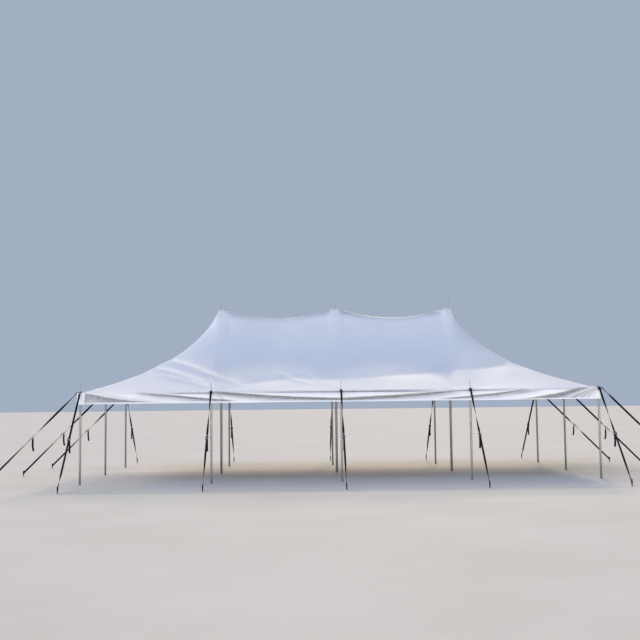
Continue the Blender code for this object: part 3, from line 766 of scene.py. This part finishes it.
def ribbon(bm, path, across, width, thickness):
    """Adds flat webbing along a path: across gives the direction of its width at every point."""
    half, thin, bevel = width / 2, thickness / 2, 0.0012
    edge = [(-half, -0.35), (bevel - half, -1), (0, -1), (half - bevel, -1), (half, -0.35)]
    ring = [(a, b * thin) for a, b in edge] + [(-a, -b * thin) for a, b in edge]
    rows, place, run = [], {}, 0.0
    for i, p in enumerate(path):
        before, after = path[max(i - 1, 0)], path[min(i + 1, len(path) - 1)]
        ahead = after - before
        side = (across[i] - across[i].project(ahead)).normalized()
        up = ahead.normalized().cross(side).normalized()
        run += (p - before).length
        rows.append([bm.verts.new(p + side * a + up * b) for a, b in ring])
        place.update((vert, (run, a + half)) for vert, (a, _) in zip(rows[-1], ring))
    uv = bm.loops.layers.uv["UVMap"]
    for face in skin(bm, rows, 0, capped=True):
        for loop in face.loops:
            along, over = place[loop.vert]
            loop[uv].uv = (along, over if face.smooth else 0.0)


def tube(bm, path, radius, sides, slot, closed=False, up=Vector((0, 0, 1))):
    """Adds a round bar along a path."""
    rows = []
    for i, p in enumerate(path):
        before = path[i - 1] if closed or i else p
        after = path[(i + 1) % len(path)] if closed or i < len(path) - 1 else p
        ahead = (after - before).normalized()
        side = ahead.cross(up).normalized()
        lift = side.cross(ahead)
        angles = np.linspace(0, 2 * math.pi, sides, endpoint=False)
        ring = [p + radius * (side * math.cos(a) + lift * math.sin(a)) for a in angles]
        rows.append([bm.verts.new(corner) for corner in ring])
    skin(bm, rows, slot, closed, capped=not closed)


def slab(bm, matrix, outline, thickness, slot, holes=()):
    """Adds a flat plate of this outline in the matrix's XY plane, its edges eased and holes cut."""
    curve = bpy.data.curves.new("outline", "CURVE")
    curve.dimensions = "2D"
    curve.fill_mode = "BOTH"
    ease = min(0.0005, thickness / 5)
    curve.extrude = thickness / 2 - ease
    curve.bevel_depth = ease
    curve.bevel_resolution = 1
    curve.offset = -ease
    for loop in [outline, *holes]:
        spline = curve.splines.new("POLY")
        spline.points.add(len(loop) - 1)
        for point, (x, y) in zip(spline.points, loop):
            point.co = (x, y, 0, 1)
        spline.use_cyclic_u = True
    helper = bpy.data.objects.new("outline", curve)
    bpy.context.scene.collection.objects.link(helper)
    bpy.context.view_layer.update()
    graph = bpy.context.evaluated_depsgraph_get()
    mesh = bpy.data.meshes.new_from_object(helper.evaluated_get(graph))
    mesh.transform(matrix)
    held = len(bm.faces)
    bm.from_mesh(mesh)
    bm.faces.ensure_lookup_table()
    for face in bm.faces[held:]:
        face.material_index = slot
    verts = list({v for face in bm.faces[held:] for v in face.verts})
    bmesh.ops.remove_doubles(bm, verts=verts, dist=1e-6)
    bpy.data.objects.remove(helper)
    bpy.data.curves.remove(curve)
    bpy.data.meshes.remove(mesh)


def circle(radius, count):
    """Points round a circle."""
    angles = [2 * math.pi * k / count for k in range(count)]
    return [(radius * math.cos(a), radius * math.sin(a)) for a in angles]


def rounded(points, radius, steps=4):
    """The outline with its corners rounded."""
    made = []
    for i, p in enumerate(points):
        p = Vector(p)
        before = Vector(points[i - 1]) - p
        after = Vector(points[(i + 1) % len(points)]) - p
        reach = min(radius, 0.45 * before.length, 0.45 * after.length)
        start, end = p + before.normalized() * reach, p + after.normalized() * reach
        for t in [k / steps for k in range(steps + 1)]:
            made.append(tuple((1 - t) ** 2 * start + 2 * t * (1 - t) * p + t**2 * end))
    return made


def rectangle(half_x, half_y):
    return [(-half_x, -half_y), (half_x, -half_y), (half_x, half_y), (-half_x, half_y)]


THREAD = (0.0030, 0.0007, 0.0005)
STITCH_PITCH = 0.0052


def box_stitch(bm, origin, along, side, length, width):
    """Sews a box with a cross in it: short raised threads over the face of the webbing."""
    up = along.cross(side)
    along, side = along * length, side * width
    corners = [origin, origin + along, origin + along + side, origin + side]
    for start, end in (*zip(corners, corners[1:] + corners[:1]), corners[::2], corners[1::2]):
        way = end - start
        count = max(2, int(way.length / STITCH_PITCH))
        ahead = way.normalized() * THREAD[0] / 2
        aside = up.cross(way).normalized() * THREAD[1] / 2
        for k in range(count):
            middle = start + way * (k + 0.5) / count
            base = [middle + ahead * a + aside * b - up * 0.0002 for a, b in rectangle(1, 1)]
            ridge = [middle + ahead * a * 2 / 3 + up * THREAD[2] for a in (-1, 1)]
            v = [bm.verts.new(corner) for corner in base + ridge]
            for face in ((0, 1, 5, 4), (2, 3, 4, 5), (1, 2, 5), (3, 0, 4), (3, 2, 1, 0)):
                bm.faces.new([v[n] for n in face]).material_index = 1


SPOOL_FROM_MIDDLE = -0.125 * RATCHET_LENGTH
ANCHOR_FROM_MIDDLE = 0.4 * RATCHET_LENGTH


def strap_lines(lift):
    """A frame at the strap's ring, with X along the strap and Y level, then the strap's length,
    its ratchet's place and the height of its pin plate's middle."""
    slope = math.atan2(EAVE_HEIGHT - LOOP_TOP, GUY_REACH - HEM_HALF_WIDTH - RING_STANDOFF)
    plate_z = PIN_PLATE_BASE + lift + PIN_PLATE_THICKNESS / 2
    ring = Vector((HEM_HALF_WIDTH + RING_STANDOFF, 0, plate_z - RING_RADIUS * math.sin(slope)))
    way = Vector((GUY_REACH, 0, LOOP_TOP - LOOP_HEIGHT / 2)) - ring
    along, across = way.normalized(), Vector((0, 1, 0))
    turn = Matrix((along, across, along.cross(across))).transposed().to_4x4()
    return Matrix.Translation(ring) @ turn, way.length, RATCHET_SHARE * way.length, plate_z


def webbing_mesh(name, materials, lift, twist, tail_turn, tab, hold=0.42, quarter=(0.0, 0.9)):
    """All the webbing of one strap: the sewn eye at the ring, the tail, and the lap at the stake.

    The twist is what the upper length turns through between ring and ratchet, half of it in the
    share hold at each end. The lower length turns on edge over the share given as quarter. The tab
    is sewn on the roof's turned-down edge behind the ring.
    """
    matrix, length, middle, _ = strap_lines(lift)
    along, side, up = (Vector(axis) for axis in matrix.to_3x3().col)
    spool, anchor = middle + SPOOL_FROM_MIDDLE, middle + ANCHOR_FROM_MIDDLE
    bm = bmesh.new()
    bm.loops.layers.uv.new("UVMap")

    def at(x, y, z):
        return matrix @ Vector((x, y, z))

    def turned(angle):
        return side * math.cos(angle) + up * math.sin(angle)

    def eye(x, radius, steps):
        angles = [-math.pi / 2 - math.pi * k / steps for k in range(steps + 1)]
        return [at(x + radius * math.cos(a), 0, radius * math.sin(a)) for a in angles]

    # From under the spool up to the ring, round its bar and back down, where it is sewn to itself
    lap = RING_BAR_RADIUS + WEBBING / 2 + 0.0002
    upper = spool - RING_RADIUS
    path, widths = [at(spool - 0.004, 0, -0.0085)], [side]
    for t in np.linspace(0.06, 0.96, 46):
        path.append(at(RING_RADIUS + upper * (1 - t), 0, -lap * (0.4 + 0.6 * t)))
        ends = np.clip((0.94 - t) / hold, 0, 1) + np.clip((0.06 + hold - t) / hold, 0, 1)
        widths.append(turned(twist / 2 * ends))
    path += eye(RING_RADIUS, lap, 10)
    for x in (0.018, 0.036, 0.060, 0.090, 0.120, 0.150):
        close = smooth_step((x - 0.010) / 0.040)
        under = -lap * (1 - 0.6 * (x + 0.02) / upper)
        laid = lap * (1 - close) + (under + WEBBING + 0.0002) * close
        path.append(at(RING_RADIUS + x, 0, laid))
    widths += [side] * (len(path) - len(widths))
    ribbon(bm, path, widths, STRAP_WIDTH - 0.003, WEBBING)
    sewn_at = path[-3] + up * (WEBBING / 2) - along * 0.010 - side * 0.018
    box_stitch(bm, sewn_at, along, side, 0.055, 0.036)

    # Wound round the spool, then the tail, which drops straight down with a slight curl
    path = []
    for k in range(34):
        angle = math.pi * 1.5 - 2 * math.pi * k / 14
        radius = 0.0080 + 0.0024 * k / 14
        path.append(at(spool + radius * math.cos(angle), 0, radius * math.sin(angle)))
    widths = [side] * len(path)
    leaves = path[-1]
    path += [leaves + Vector((-0.006, 0, -0.010)), leaves + Vector((-0.010, 0.0005, -0.028))]
    for t in np.linspace(1 / 16, 1, 16):
        sway = 0.010 * math.sin(3.1 * t) - 0.016 * t**2
        fall = 0.028 + (TAIL_LENGTH - 0.05) * t
        path.append(leaves + Vector((sway - 0.010, 0.006 * math.sin(2.4 * t), -fall)))
    for k in range(18):
        angle = 0.22 * math.sin(2.6 * k / 17) + tail_turn * smooth_step(k / 6)
        widths.append(Vector((math.sin(angle), math.cos(angle), 0)))
    ribbon(bm, path, widths, STRAP_WIDTH - 0.005, WEBBING * 0.9)

    # From the anchor bolt down to the stake: sewn to itself, turned on edge, and lapped round it
    below = ((0.130, -0.0024), (0.090, -0.0026), (0.055, -0.0035), (0.028, -0.0055))
    above = ((0.028, 0.0040), (0.055, 0.0014), (0.090, 0.0))
    path = [at(anchor + x, 0, z) for x, z in below] + eye(anchor, 0.0060 + WEBBING / 2, 8)
    path += [at(anchor + x, 0, z) for x, z in above]
    widths = [side] * len(path)
    begin, lower_end = anchor + 0.13, length - 0.115
    for t in np.linspace(0, 1, 26):
        path.append(at(begin + (lower_end - begin) * t, 0, 0))
        widths.append(turned(math.pi / 2 * np.clip((t - quarter[0]) / quarter[1], 0, 1)))
    hug = STAKE_RADIUS + 0.0006 + WEBBING / 2
    offset = WEBBING * 0.55
    path.append(at(lower_end + 0.03, offset, 0))
    for degrees in np.linspace(105, -105, 25):
        angle = math.radians(degrees)
        path.append(at(length + hug / abs(along.x) * math.cos(angle), hug * math.sin(angle), 0))
    offset += 0.0006
    path += [at(length - x, -offset, 0) for x in (0.060, 0.085, 0.115, 0.150, 0.185)]
    widths += [up] * (len(path) - len(widths))
    ribbon(bm, path, widths, STRAP_WIDTH - 0.006, WEBBING)
    box_stitch(bm, at(length - 0.165, -offset - WEBBING / 2, -0.016), along, up, 0.060, 0.032)
    box_stitch(bm, at(anchor + 0.040, -0.016, 0.0016 + WEBBING / 2), along, side, 0.050, 0.032)

    if tab:
        drawn = ((0.0120, 0.0010), (0.0190, -0.0010), (0.0228, -0.0050), (0.0240, -0.0120),
                 (0.0246, -0.0280), (0.0252, -0.0420), (0.0258, -0.0560))
        path = [Vector((HEM_HALF_WIDTH + x, 0, CANOPY_BASE + z)) for x, z in drawn]
        ribbon(bm, path, [side] * len(path), 0.064, 0.0026)
        sewn_at = Vector((HEM_HALF_WIDTH + 0.0262, -0.024, CANOPY_BASE - 0.050))
        box_stitch(bm, sewn_at, side, Vector((0, 0, 1)), 0.048, 0.034)
    return bmesh_to_mesh(bm, name, materials, 0.8)


def hardware_mesh(name, materials, lift, keeper):
    """Pin plate, ring and ratchet buckle of one strap, and the topmost plate's rubber keeper."""
    matrix, _, middle, plate_z = strap_lines(lift)
    half = RATCHET_LENGTH / 2
    spool, anchor = middle + SPOOL_FROM_MIDDLE, middle + ANCHOR_FROM_MIDDLE
    bare, black = 0, 1
    bm = bmesh.new()

    def at(x, y, z):
        return matrix @ Vector((x, y, z))

    def on_edge(y, outline, thickness):
        upright = Matrix.Translation((0, y, 0)) @ Matrix.Rotation(math.pi / 2, 4, "X")
        slab(bm, matrix @ upright, outline, thickness, bare)

    # The plate on the pin, rolled round the ring at its outer end
    near = at(-RING_RADIUS, 0, 0)
    wide = PIN_PLATE_WIDTH / 2
    outline = [(-PIN_PLATE_INSIDE, -wide), (0.030, -wide), (near.x, -0.017), (near.x, 0.017),
               (0.030, wide), (-PIN_PLATE_INSIDE, wide)]
    slab(bm, Matrix.Translation((0, 0, plate_z)), rounded(outline, 0.012),
         PIN_PLATE_THICKNESS - 0.0004, black, [circle(PIN_RADIUS + 0.0012, 20)])
    bend = [near + Vector((0, y, 0)) for y in (-0.015, -0.005, 0.005, 0.015)]
    tube(bm, bend, RING_BAR_RADIUS + 0.0035, 16, black)
    if keeper:
        base = plate_z + PIN_PLATE_THICKNESS / 2
        inner = PIN_RADIUS + 0.0004
        profile = ((inner, 0.0120), (inner + 0.0040, 0.0124), (0.0150, 0.0118), (0.0190, 0.0096),
                   (0.0225, 0.0060), (0.0235, 0.0036), (0.0230, 0.0014), (0.0220, 0.0003),
                   (inner, 0.0003))
        lathe(bm, [(r, base + z) for r, z in profile], 32, closed=True, slot=black)
    ring = [at(x, y, 0) for x, y in circle(RING_RADIUS, 36)]
    tube(bm, ring, RING_BAR_RADIUS, 10, black, closed=True, up=Vector(matrix.to_3x3().col[2]))

    # On each side the frame, deep at the spool and slim at the bolt, the wheel and the handle's arm
    frame_side = [(-half, -0.010), (-0.5 * half, -0.016), (0.3 * half, -0.014), (half, -0.010),
                  (half, 0.009), (0.2 * half, 0.013), (-0.55 * half, 0.014), (-half, 0.006)]
    tooth = ((0.0185, 0), (0.0190, 0.10), (0.0135, 0.16), (0.0140, 0.30))
    turns = [(r, 2 * math.pi * k / 13 + lead) for k in range(13) for r, lead in tooth]
    teeth = [(spool + r * math.cos(a), r * math.sin(a)) for r, a in turns]
    arm = [(spool - 0.012, -0.010), (spool + 0.012, -0.010), (spool + 0.030, 0.008),
           (middle + 0.071, 0.014), (middle + 0.071, 0.024), (spool + 0.020, 0.022),
           (spool - 0.012, 0.012)]
    washer = [(0, 0.0030), (0.0060, 0.0028), (0.0078, 0.0018), (0.0082, 0.0), (0.0110, -0.0002),
              (0.0112, -0.0020), (0, -0.0020)]
    nut = [(0, 0.0048), (0.0068, 0.0048), (0.0078, 0.0040), (0.0078, 0.0), (0.0098, -0.0002),
           (0.0098, -0.0012), (0, -0.0012)]
    half_round = [(math.cos(a), math.sin(a)) for a in np.linspace(0, math.pi, 9)]
    for s in (-1, 1):
        on_edge(s * 0.0275, rounded([(middle + x, z) for x, z in frame_side], 0.007), 0.0026)
        on_edge(s * 0.0302, teeth, 0.0022)
        on_edge(s * 0.0332, rounded(arm, 0.006), 0.0022)
        out = Vector((0, s, 0))
        lathe(bm, washer, 20, facing(at(spool, s * 0.0345, 0), out))
        lathe(bm, nut, 6, facing(at(anchor, s * 0.0290, 0), out))
        # The spool is two half-round bars
        bar = [(spool + 0.0068 * x, s * (0.0012 + 0.0056 * z)) for x, z in half_round]
        on_edge(0, bar, 0.066)
    tube(bm, [at(anchor, y, 0) for y in (-0.030, -0.01, 0.01, 0.030)], 0.0058, 16, bare)
    # Grip across the handle's end, the spring pawl, its return plate, and the plate below the
    # spool that keeps the frame's sides apart
    grip = [at(middle + 0.062, y, 0.0190) for y in np.linspace(-0.033, 0.033, 7)]
    tube(bm, grip, 0.0075, 16, black)
    for x, z, tilt, half_x, half_y, thickness in (
        (middle + 0.040, 0.0165, -0.10, 0.015, 0.0315, 0.0020),
        (spool + 0.026, 0.0150, -0.10, 0.006, 0.0315, 0.0020),
        (middle + 0.028, -0.0115, 0.0, 0.016, 0.0262, 0.0022),
    ):
        place = Matrix.Translation((x, 0, z)) @ Matrix.Rotation(tilt, 4, "Y")
        slab(bm, matrix @ place, rounded(rectangle(half_x, half_y), 0.003), thickness, bare)
    return bmesh_to_mesh(bm, name, materials, 0.55)


# Materials


class Look:
    """A node material in the making. What goes into its nodes is a socket or a plain value."""

    def __init__(self, name):
        self.material = bpy.data.materials.new(name)
        self.material.use_nodes = True
        self.tree = self.material.node_tree
        self.shader = self.tree.nodes["Principled BSDF"]

    def wire(self, node, inputs):
        for key, value in inputs.items():
            if isinstance(value, bpy.types.NodeSocket):
                self.tree.links.new(value, node.inputs[key])
            else:
                node.inputs[key].default_value = value

    def node(self, kind, inputs, output=0, **settings):
        """Adds a shader node and gives one of its outputs."""
        node = self.tree.nodes.new("ShaderNode" + kind)
        for key, value in settings.items():
            setattr(node, key, value)
        self.wire(node, inputs)
        return node.outputs[output]

    def place(self, scale=(1, 1, 1), source="Object"):
        """Texture coordinates in metres, stretched by a scale."""
        return self.node("Mapping", {"Vector": self.node("TexCoord", {}, source), "Scale": scale})

    def spread(self, value, low=0.0, high=1.0, to_low=0.0, to_high=1.0):
        """A value carried over from one range to another, and held inside it."""
        ends = {"From Min": low, "From Max": high, "To Min": to_low, "To Max": to_high}
        return self.node("MapRange", {"Value": value, **ends})

    def noise(self, place, scale, detail=4.0, roughness=0.55, low=0.35, high=0.65):
        """Noise spread over 0 to 1 between two of its levels."""
        inputs = {"Vector": place, "Scale": scale, "Detail": detail, "Roughness": roughness}
        return self.spread(self.node("TexNoise", inputs), low, high)

    def bands(self, place, direction, scale, distortion):
        """Woven threads, as waves along one direction."""
        inputs = {"Vector": place, "Scale": scale, "Distortion": distortion, "Detail": 1.0}
        return self.node("TexWave", inputs, "Fac", wave_type="BANDS", bands_direction=direction)

    def maths(self, operation, *values):
        return self.node("Math", dict(enumerate(values)), operation=operation)

    def times(self, first, second):
        return self.maths("MULTIPLY", first, second)

    def paint(self, pattern, dark, light, *coats):
        """The base colour: two colours mixed by a pattern, and coats laid over them.

        Each coat has a pattern, how much of it shows, and its colour.
        """
        made = (*dark, 1)
        for pattern, share, colour in ((pattern, 1.0, light), *coats):
            inputs = {0: self.times(pattern, share), 6: made, 7: (*colour, 1)}
            made = self.node("Mix", inputs, 2, data_type="RGBA", clamp_factor=True)
        self.wire(self.shader, {"Base Color": made})
        return made

    def finish(self, roughness, metallic, *layers):
        """Roughness, how metallic it is, and bumps laid one on another.

        Each bump has a height, its strength and its distance.
        """
        made = {}
        for height, strength, distance in layers:
            inputs = {"Height": height, "Strength": strength, "Distance": distance, **made}
            made = {"Normal": self.node("Bump", inputs)}
        self.wire(self.shader, {"Roughness": roughness, "Metallic": metallic, **made})
        return self.material


def vinyl_material():
    """White coated vinyl: faint mottling, dust, painted shade in the folds, under the roof's edge
    and along the ridge, a fine scrim below the gloss.
    """
    look = Look("dressed_vinyl")
    place = look.place()
    mottle = look.noise(place, 0.55, 7.0, 0.62, 0.30, 0.70)
    blotch = look.noise(place, 3.1, 5.0, 0.55, 0.45, 0.80)
    speck = look.noise(place, 38.0, 3.0, 0.6, 0.55, 0.75)
    dust_and_shade = look.node("Attribute", {}, "Fac", attribute_name="dust_and_shade")
    broken = look.noise(place, 11.0, 5.0, 0.65, 0.25, 0.75)
    # The dark coat is dust and painted shade: shadow lines under the folds and the roof's edge,
    # shade below the folds and along the ridge
    grime_and_shade = look.times(dust_and_shade, look.maths("MULTIPLY_ADD", broken, 0.35, 0.65))
    colour = look.paint(
        mottle, (0.80, 0.815, 0.845), (0.86, 0.868, 0.885), (blotch, 0.16, (0.70, 0.70, 0.705)),
        (speck, 0.05, (0.50, 0.48, 0.45)), (grime_and_shade, 0.93, (0.13, 0.13, 0.162)),
    )
    look.wire(look.shader, {"IOR": 1.48})
    scrim = look.maths("MAXIMUM", *(look.bands(place, way, 160.0, 0.6) for way in ("X", "Y")))
    rumple = look.noise(place, 5.5, 3.0, 0.5, 0.2, 0.8)
    crinkle = look.noise(look.place((1.0, 1.6, 1.3)), 26.0, 4.0, 0.55, 0.2, 0.8)
    bumps = ((rumple, 0.35, 0.006), (crinkle, 0.30, 0.0012), (scrim, 0.10, 0.0002))
    look.finish(look.spread(mottle, 0, 1, 0.40, 0.54), 0.0, *bumps)
    through = look.node("BsdfTranslucent", {"Color": colour})
    mix = look.node("MixShader", {0: 0.16, 1: look.shader.outputs[0], 2: through})
    look.wire(next(n for n in look.tree.nodes if n.type == "OUTPUT_MATERIAL"), {"Surface": mix})
    return look.material


def tube_material():
    """Mill-finish aluminium tube: dull mottling, long scuffs, and dirt at the foot."""
    look = Look("dressed_tube")
    place = look.place()
    cells = look.node("TexVoronoi", {"Vector": place, "Scale": 60.0}, "Color", feature="F1")
    mottle = look.node("SeparateColor", {"Color": cells})
    cloud = look.noise(place, 6.0, 6.0, 0.6, 0.3, 0.7)
    scuff = look.noise(look.place((60, 60, 2.2)), 1.0, 5.0, 0.6, 0.52, 0.74)
    low = look.spread(look.node("SeparateXYZ", {"Vector": place}, 2), 0.02, 0.35, 1.0, 0.0)
    dirt = look.times(low, look.noise(place, 22.0, 5.0, 0.65, 0.40, 0.62))
    look.paint(
        cloud, (0.245, 0.245, 0.222), (0.40, 0.40, 0.368), (mottle, 0.14, (0.51, 0.51, 0.47)),
        (scuff, 0.45, (0.59, 0.59, 0.56)), (dirt, 0.7, (0.13, 0.105, 0.08)),
    )
    metal = look.maths("SUBTRACT", 0.85, look.times(dirt, 0.6))
    bumps = ((cloud, 0.15, 0.001), (scuff, 0.20, 0.0003))
    return look.finish(look.spread(scuff, 0, 1, 0.50, 0.34), metal, *bumps)


def webbing_material():
    """Black woven webbing, lightly dusted in patches."""
    look = Look("dressed_webbing")
    flat = look.place(source="UV")
    weave = look.times(look.bands(flat, "Y", 95.0, 0.4), look.bands(flat, "DIAGONAL", 130.0, 0.3))
    dust = look.noise(look.place(), 14.0, 6.0, 0.65, 0.42, 0.75)
    dusty = (dust, 0.08, (0.10, 0.09, 0.08))
    look.paint(weave, (0.003, 0.003, 0.004), (0.012, 0.012, 0.014), dusty)
    look.wire(look.shader, {"Specular IOR Level": 0.15})
    return look.finish(0.9, 0.0, (weave, 0.6, 0.0006))


def plain_material(name, scale, detail, dark, light, roughness, *bump):
    """Two colours in a mottle of this scale and detail, which may stand out as a bump."""
    look = Look(name)
    mottle = look.noise(look.place(), scale, detail)
    look.paint(mottle, dark, light)
    return look.finish(roughness, 0.0, *([(mottle, *bump)] if bump else []))


def zinc_material():
    """Zinc plated steel of the ratchets and eyelets, with rust in spots."""
    look = Look("dressed_zinc")
    place = look.place()
    cloud = look.noise(place, 30.0, 5.0, 0.6, 0.3, 0.7)
    rust = look.noise(place, 48.0, 7.0, 0.7, 0.56, 0.72)
    look.paint(cloud, (0.30, 0.29, 0.26), (0.46, 0.45, 0.40), (rust, 0.75, (0.16, 0.065, 0.028)))
    metal = look.maths("SUBTRACT", 0.95, look.times(rust, 0.8))
    bumps = ((rust, 0.3, 0.0006), (cloud, 0.1, 0.0004))
    return look.finish(look.spread(rust, 0, 1, 0.34, 0.80), metal, *bumps)


def stake_material():
    """Dark forged steel with rust, polished where the hammer strikes."""
    look = Look("dressed_stake")
    place = look.place()
    scale = look.noise(place, 40.0, 7.0, 0.7, 0.42, 0.64)
    top = look.spread(look.node("SeparateXYZ", {"Vector": place}, 2), 0.142, 0.149)
    struck = look.times(top, look.noise(place, 120.0, 4.0, 0.6, 0.30, 0.60))
    bright = (struck, 1.0, (0.42, 0.41, 0.40))
    look.paint(scale, (0.030, 0.026, 0.024), (0.085, 0.042, 0.024), bright)
    metal = look.maths("MAXIMUM", look.times(struck, 0.95), 0.25)
    return look.finish(look.spread(struck, 0, 1, 0.78, 0.32), metal, (scale, 0.5, 0.0008))


# Assembly


def move_to(obj, x, y, heading=0.0, z=0.0):
    """Puts a piece at a place of the plan."""
    obj.parent = None
    obj.matrix_world = Matrix.Translation((x, y, z)) @ Matrix.Rotation(heading, 4, "Z")
    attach(obj, "root")


def make_poles(tube_look, zinc):
    """The poles, and an eyelet in the roof round every pin."""
    side = pole_mesh("pole_dressed", SIDE_POLE_RADIUS, EAVE_HEIGHT, [tube_look])
    centre = pole_mesh("mast_dressed", CENTRE_POLE_RADIUS, PEAK_HEIGHT, [tube_look])
    eyelet = grommet_mesh([zinc])
    sides = [(f"pole_{label}", f"side_pole_{label}", label, side, x, y, 1.7 * i)
             for i, (label, x, y, _) in enumerate(SIDE_POLES)]
    masts = [(f"mast_{i + 1}", f"centre_pole_{i + 1}", f"peak_{i + 1}", centre, x, 0.0, 0.9 * i)
             for i, x in enumerate(PEAKS)]
    for name, node, label, mesh, x, y, turn in sides + masts:
        move_to(add_object(name, mesh, [node]), x, y, turn)
        z = float(roof_point(np.array([x]), np.array([y]))[0, 2]) + VINYL
        move_to(add_object(f"grommet_{label}", eyelet), x, y, z=z)


def make_straps(looks, metals, steel):
    """Every strap with its plate, ring and ratchet, and its stake."""
    second = PIN_PLATE_THICKNESS + SEAT_GAP
    half_turn, late = math.pi, (0.17, (0.0, 0.24))
    kinds = {
        "lapped": (0.0, 0.0, 0.0, False, 0.42, (0.72, 0.25)),
        "long": (0.0, half_turn, 0.3, True, 0.42, (0.35, 0.60)),
        "end": (0.0, half_turn, 1.3, True),
        "corner": (second, half_turn, 1.3, True),
        "end_right": (0.0, half_turn, 1.3, True, *late),
        "corner_right": (second, half_turn, 1.3, True, *late),
    }
    cloth = {kind: webbing_mesh(f"webbing_{kind}", looks, *made) for kind, made in kinds.items()}
    metal = {
        "lower": hardware_mesh("hardware_lower", metals, 0.0, False),
        "single": hardware_mesh("hardware", metals, 0.0, True),
        "upper": hardware_mesh("hardware_upper", metals, second, True),
    }
    stake = stake_mesh([steel])
    turns = 0
    for label, x, y, headings in SIDE_POLES:
        for order, heading in enumerate(headings):
            name = label + ("_end" if order else "")
            kind = "corner" if order else "end" if label.endswith("middle") else "long"
            kind = "lapped" if name in ("front_left_corner", "back_right_corner") else kind
            kind += "_right" if kind in ("end", "corner") and x > 0 else ""
            place = "upper" if order else "lower" if len(headings) > 1 else "single"
            nodes = [f"guy_strap_{name}"]
            strap = add_object(f"strap_{name}", cloth[kind], nodes)
            buckle = add_object(f"ratchet_{name}", metal[place], nodes)
            for piece in (strap, buckle):
                move_to(piece, x, y, heading)
            peg = add_object(f"peg_{name}", stake, [f"stake_{name}"])
            foot = (x + GUY_REACH * math.cos(heading), y + GUY_REACH * math.sin(heading))
            move_to(peg, *foot, 2.1 * turns)
            turns += 1


# The photograph's camera, as solved from the poles: 26 m away, looking up slightly, its focal
# length given as a share of the picture's width
CAMERA_PLACE = (-1.0316, -26.2261, 1.8677)
CAMERA_TURN = (1.6536012, 0.010763, -0.0230068)
FOCAL_SHARE = 983.27 / 640
SENSOR_WIDTH = 36

# Suns, with azimuth from behind the tent towards its left, elevation and spread in degrees
SUNS = (
    ("key_high", -10, 40, 3, 0.43, (1.0, 0.85, 0.54)),
    ("key_low", -10, 28, 6, 0.48, (1.0, 0.76, 0.58)),
    ("key_left", 4, 40, 4, 0.30, (1.0, 0.80, 0.56)),
    ("key_edge", 12, 32, 4, 0.12, (1.0, 0.85, 0.65)),
    ("left_fill", 60, 40, 30, 0.90, (1.0, 0.88, 0.62)),
    ("side_fill", 130, 38, 50, 1.45, (0.47, 0.59, 1.0)),
)


def add_thing(name, data):
    thing = bpy.data.objects.new(name, data)
    bpy.context.scene.collection.objects.link(thing)
    return thing


def make_camera():
    """The view of the photograph."""
    data = bpy.data.cameras.new("view")
    data.sensor_width = SENSOR_WIDTH
    data.lens = FOCAL_SHARE * SENSOR_WIDTH
    data.clip_end = 500
    camera = add_thing("view", data)
    camera.location, camera.rotation_euler = CAMERA_PLACE, CAMERA_TURN
    bpy.context.scene.camera = camera


def make_lights():
    """The pale surround, the suns, and a low panel that lights the front from the ground."""
    world = bpy.data.worlds.new("studio")
    world.use_nodes = True
    back = world.node_tree.nodes["Background"]
    back.inputs["Color"].default_value = (0.67, 0.79, 1.0, 1)
    back.inputs["Strength"].default_value = 0.54
    bpy.context.scene.world = world
    for name, azimuth, elevation, spread, strength, colour in SUNS:
        data = bpy.data.lights.new(name, "SUN")
        data.energy, data.color, data.angle = strength, colour, math.radians(spread)
        turn = (math.radians(elevation - 90), 0, math.radians(azimuth))
        add_thing(name, data).rotation_euler = turn
    data = bpy.data.lights.new("low_panel", "AREA")
    data.shape = "RECTANGLE"
    data.size, data.size_y = 26.0, 3.0
    data.energy, data.color = 1500, (1.0, 0.95, 0.86)
    panel = add_thing("low_panel", data)
    panel.location = (-0.5, -7.6, 0.01)
    panel.rotation_euler = (math.pi, 0, 0)
    panel.visible_camera = False


def make_floor():
    """A plain pale floor."""
    bm = bmesh.new()
    bmesh.ops.create_grid(bm, x_segments=2, y_segments=2, size=220)
    look = plain_material("studio_floor", 0.35, 4.0, (0.60, 0.555, 0.49), (0.64, 0.595, 0.53), 0.8)
    floor = add_thing("studio_floor", bmesh_to_mesh(bm, "studio_floor", [look]))


def main():
    bpy.context.scene.view_settings.view_transform = "Standard"
    make_camera()
    vinyl, tube_look, zinc = vinyl_material(), tube_material(), zinc_material()
    canopy = make_canopy(vinyl)
    for side in SIDES:
        make_valance(side, vinyl)
    make_corner_flap("corner_lap_front_left", -EDGE_X, -EDGE_Y, vinyl)
    make_corner_flap("corner_lap_back_right", EDGE_X, EDGE_Y, vinyl)
    for label, x, y, _ in SIDE_POLES:
        make_patch(f"patch_{label}", (x, y), SIDE_PATCH_RADIUS, vinyl)
    for i, spot in enumerate(PEAK_PINS):
        make_patch(f"patch_peak_{i + 1}", spot, PEAK_PATCH_RADIUS, vinyl, PEAK_PATCH_SOIL)
    make_poles(tube_look, zinc)
    thread = plain_material(
        "dressed_thread", 900.0, 2.0, (0.24, 0.23, 0.22), (0.40, 0.39, 0.37), 0.7
    )
    grip = plain_material(
        "dressed_grip", 420.0, 3.0, (0.014, 0.014, 0.015), (0.040, 0.040, 0.042), 0.55, 0.3, 0.0003
    )
    make_straps([webbing_material(), thread], [zinc, grip], stake_material())
    make_floor()
    make_lights()


main()
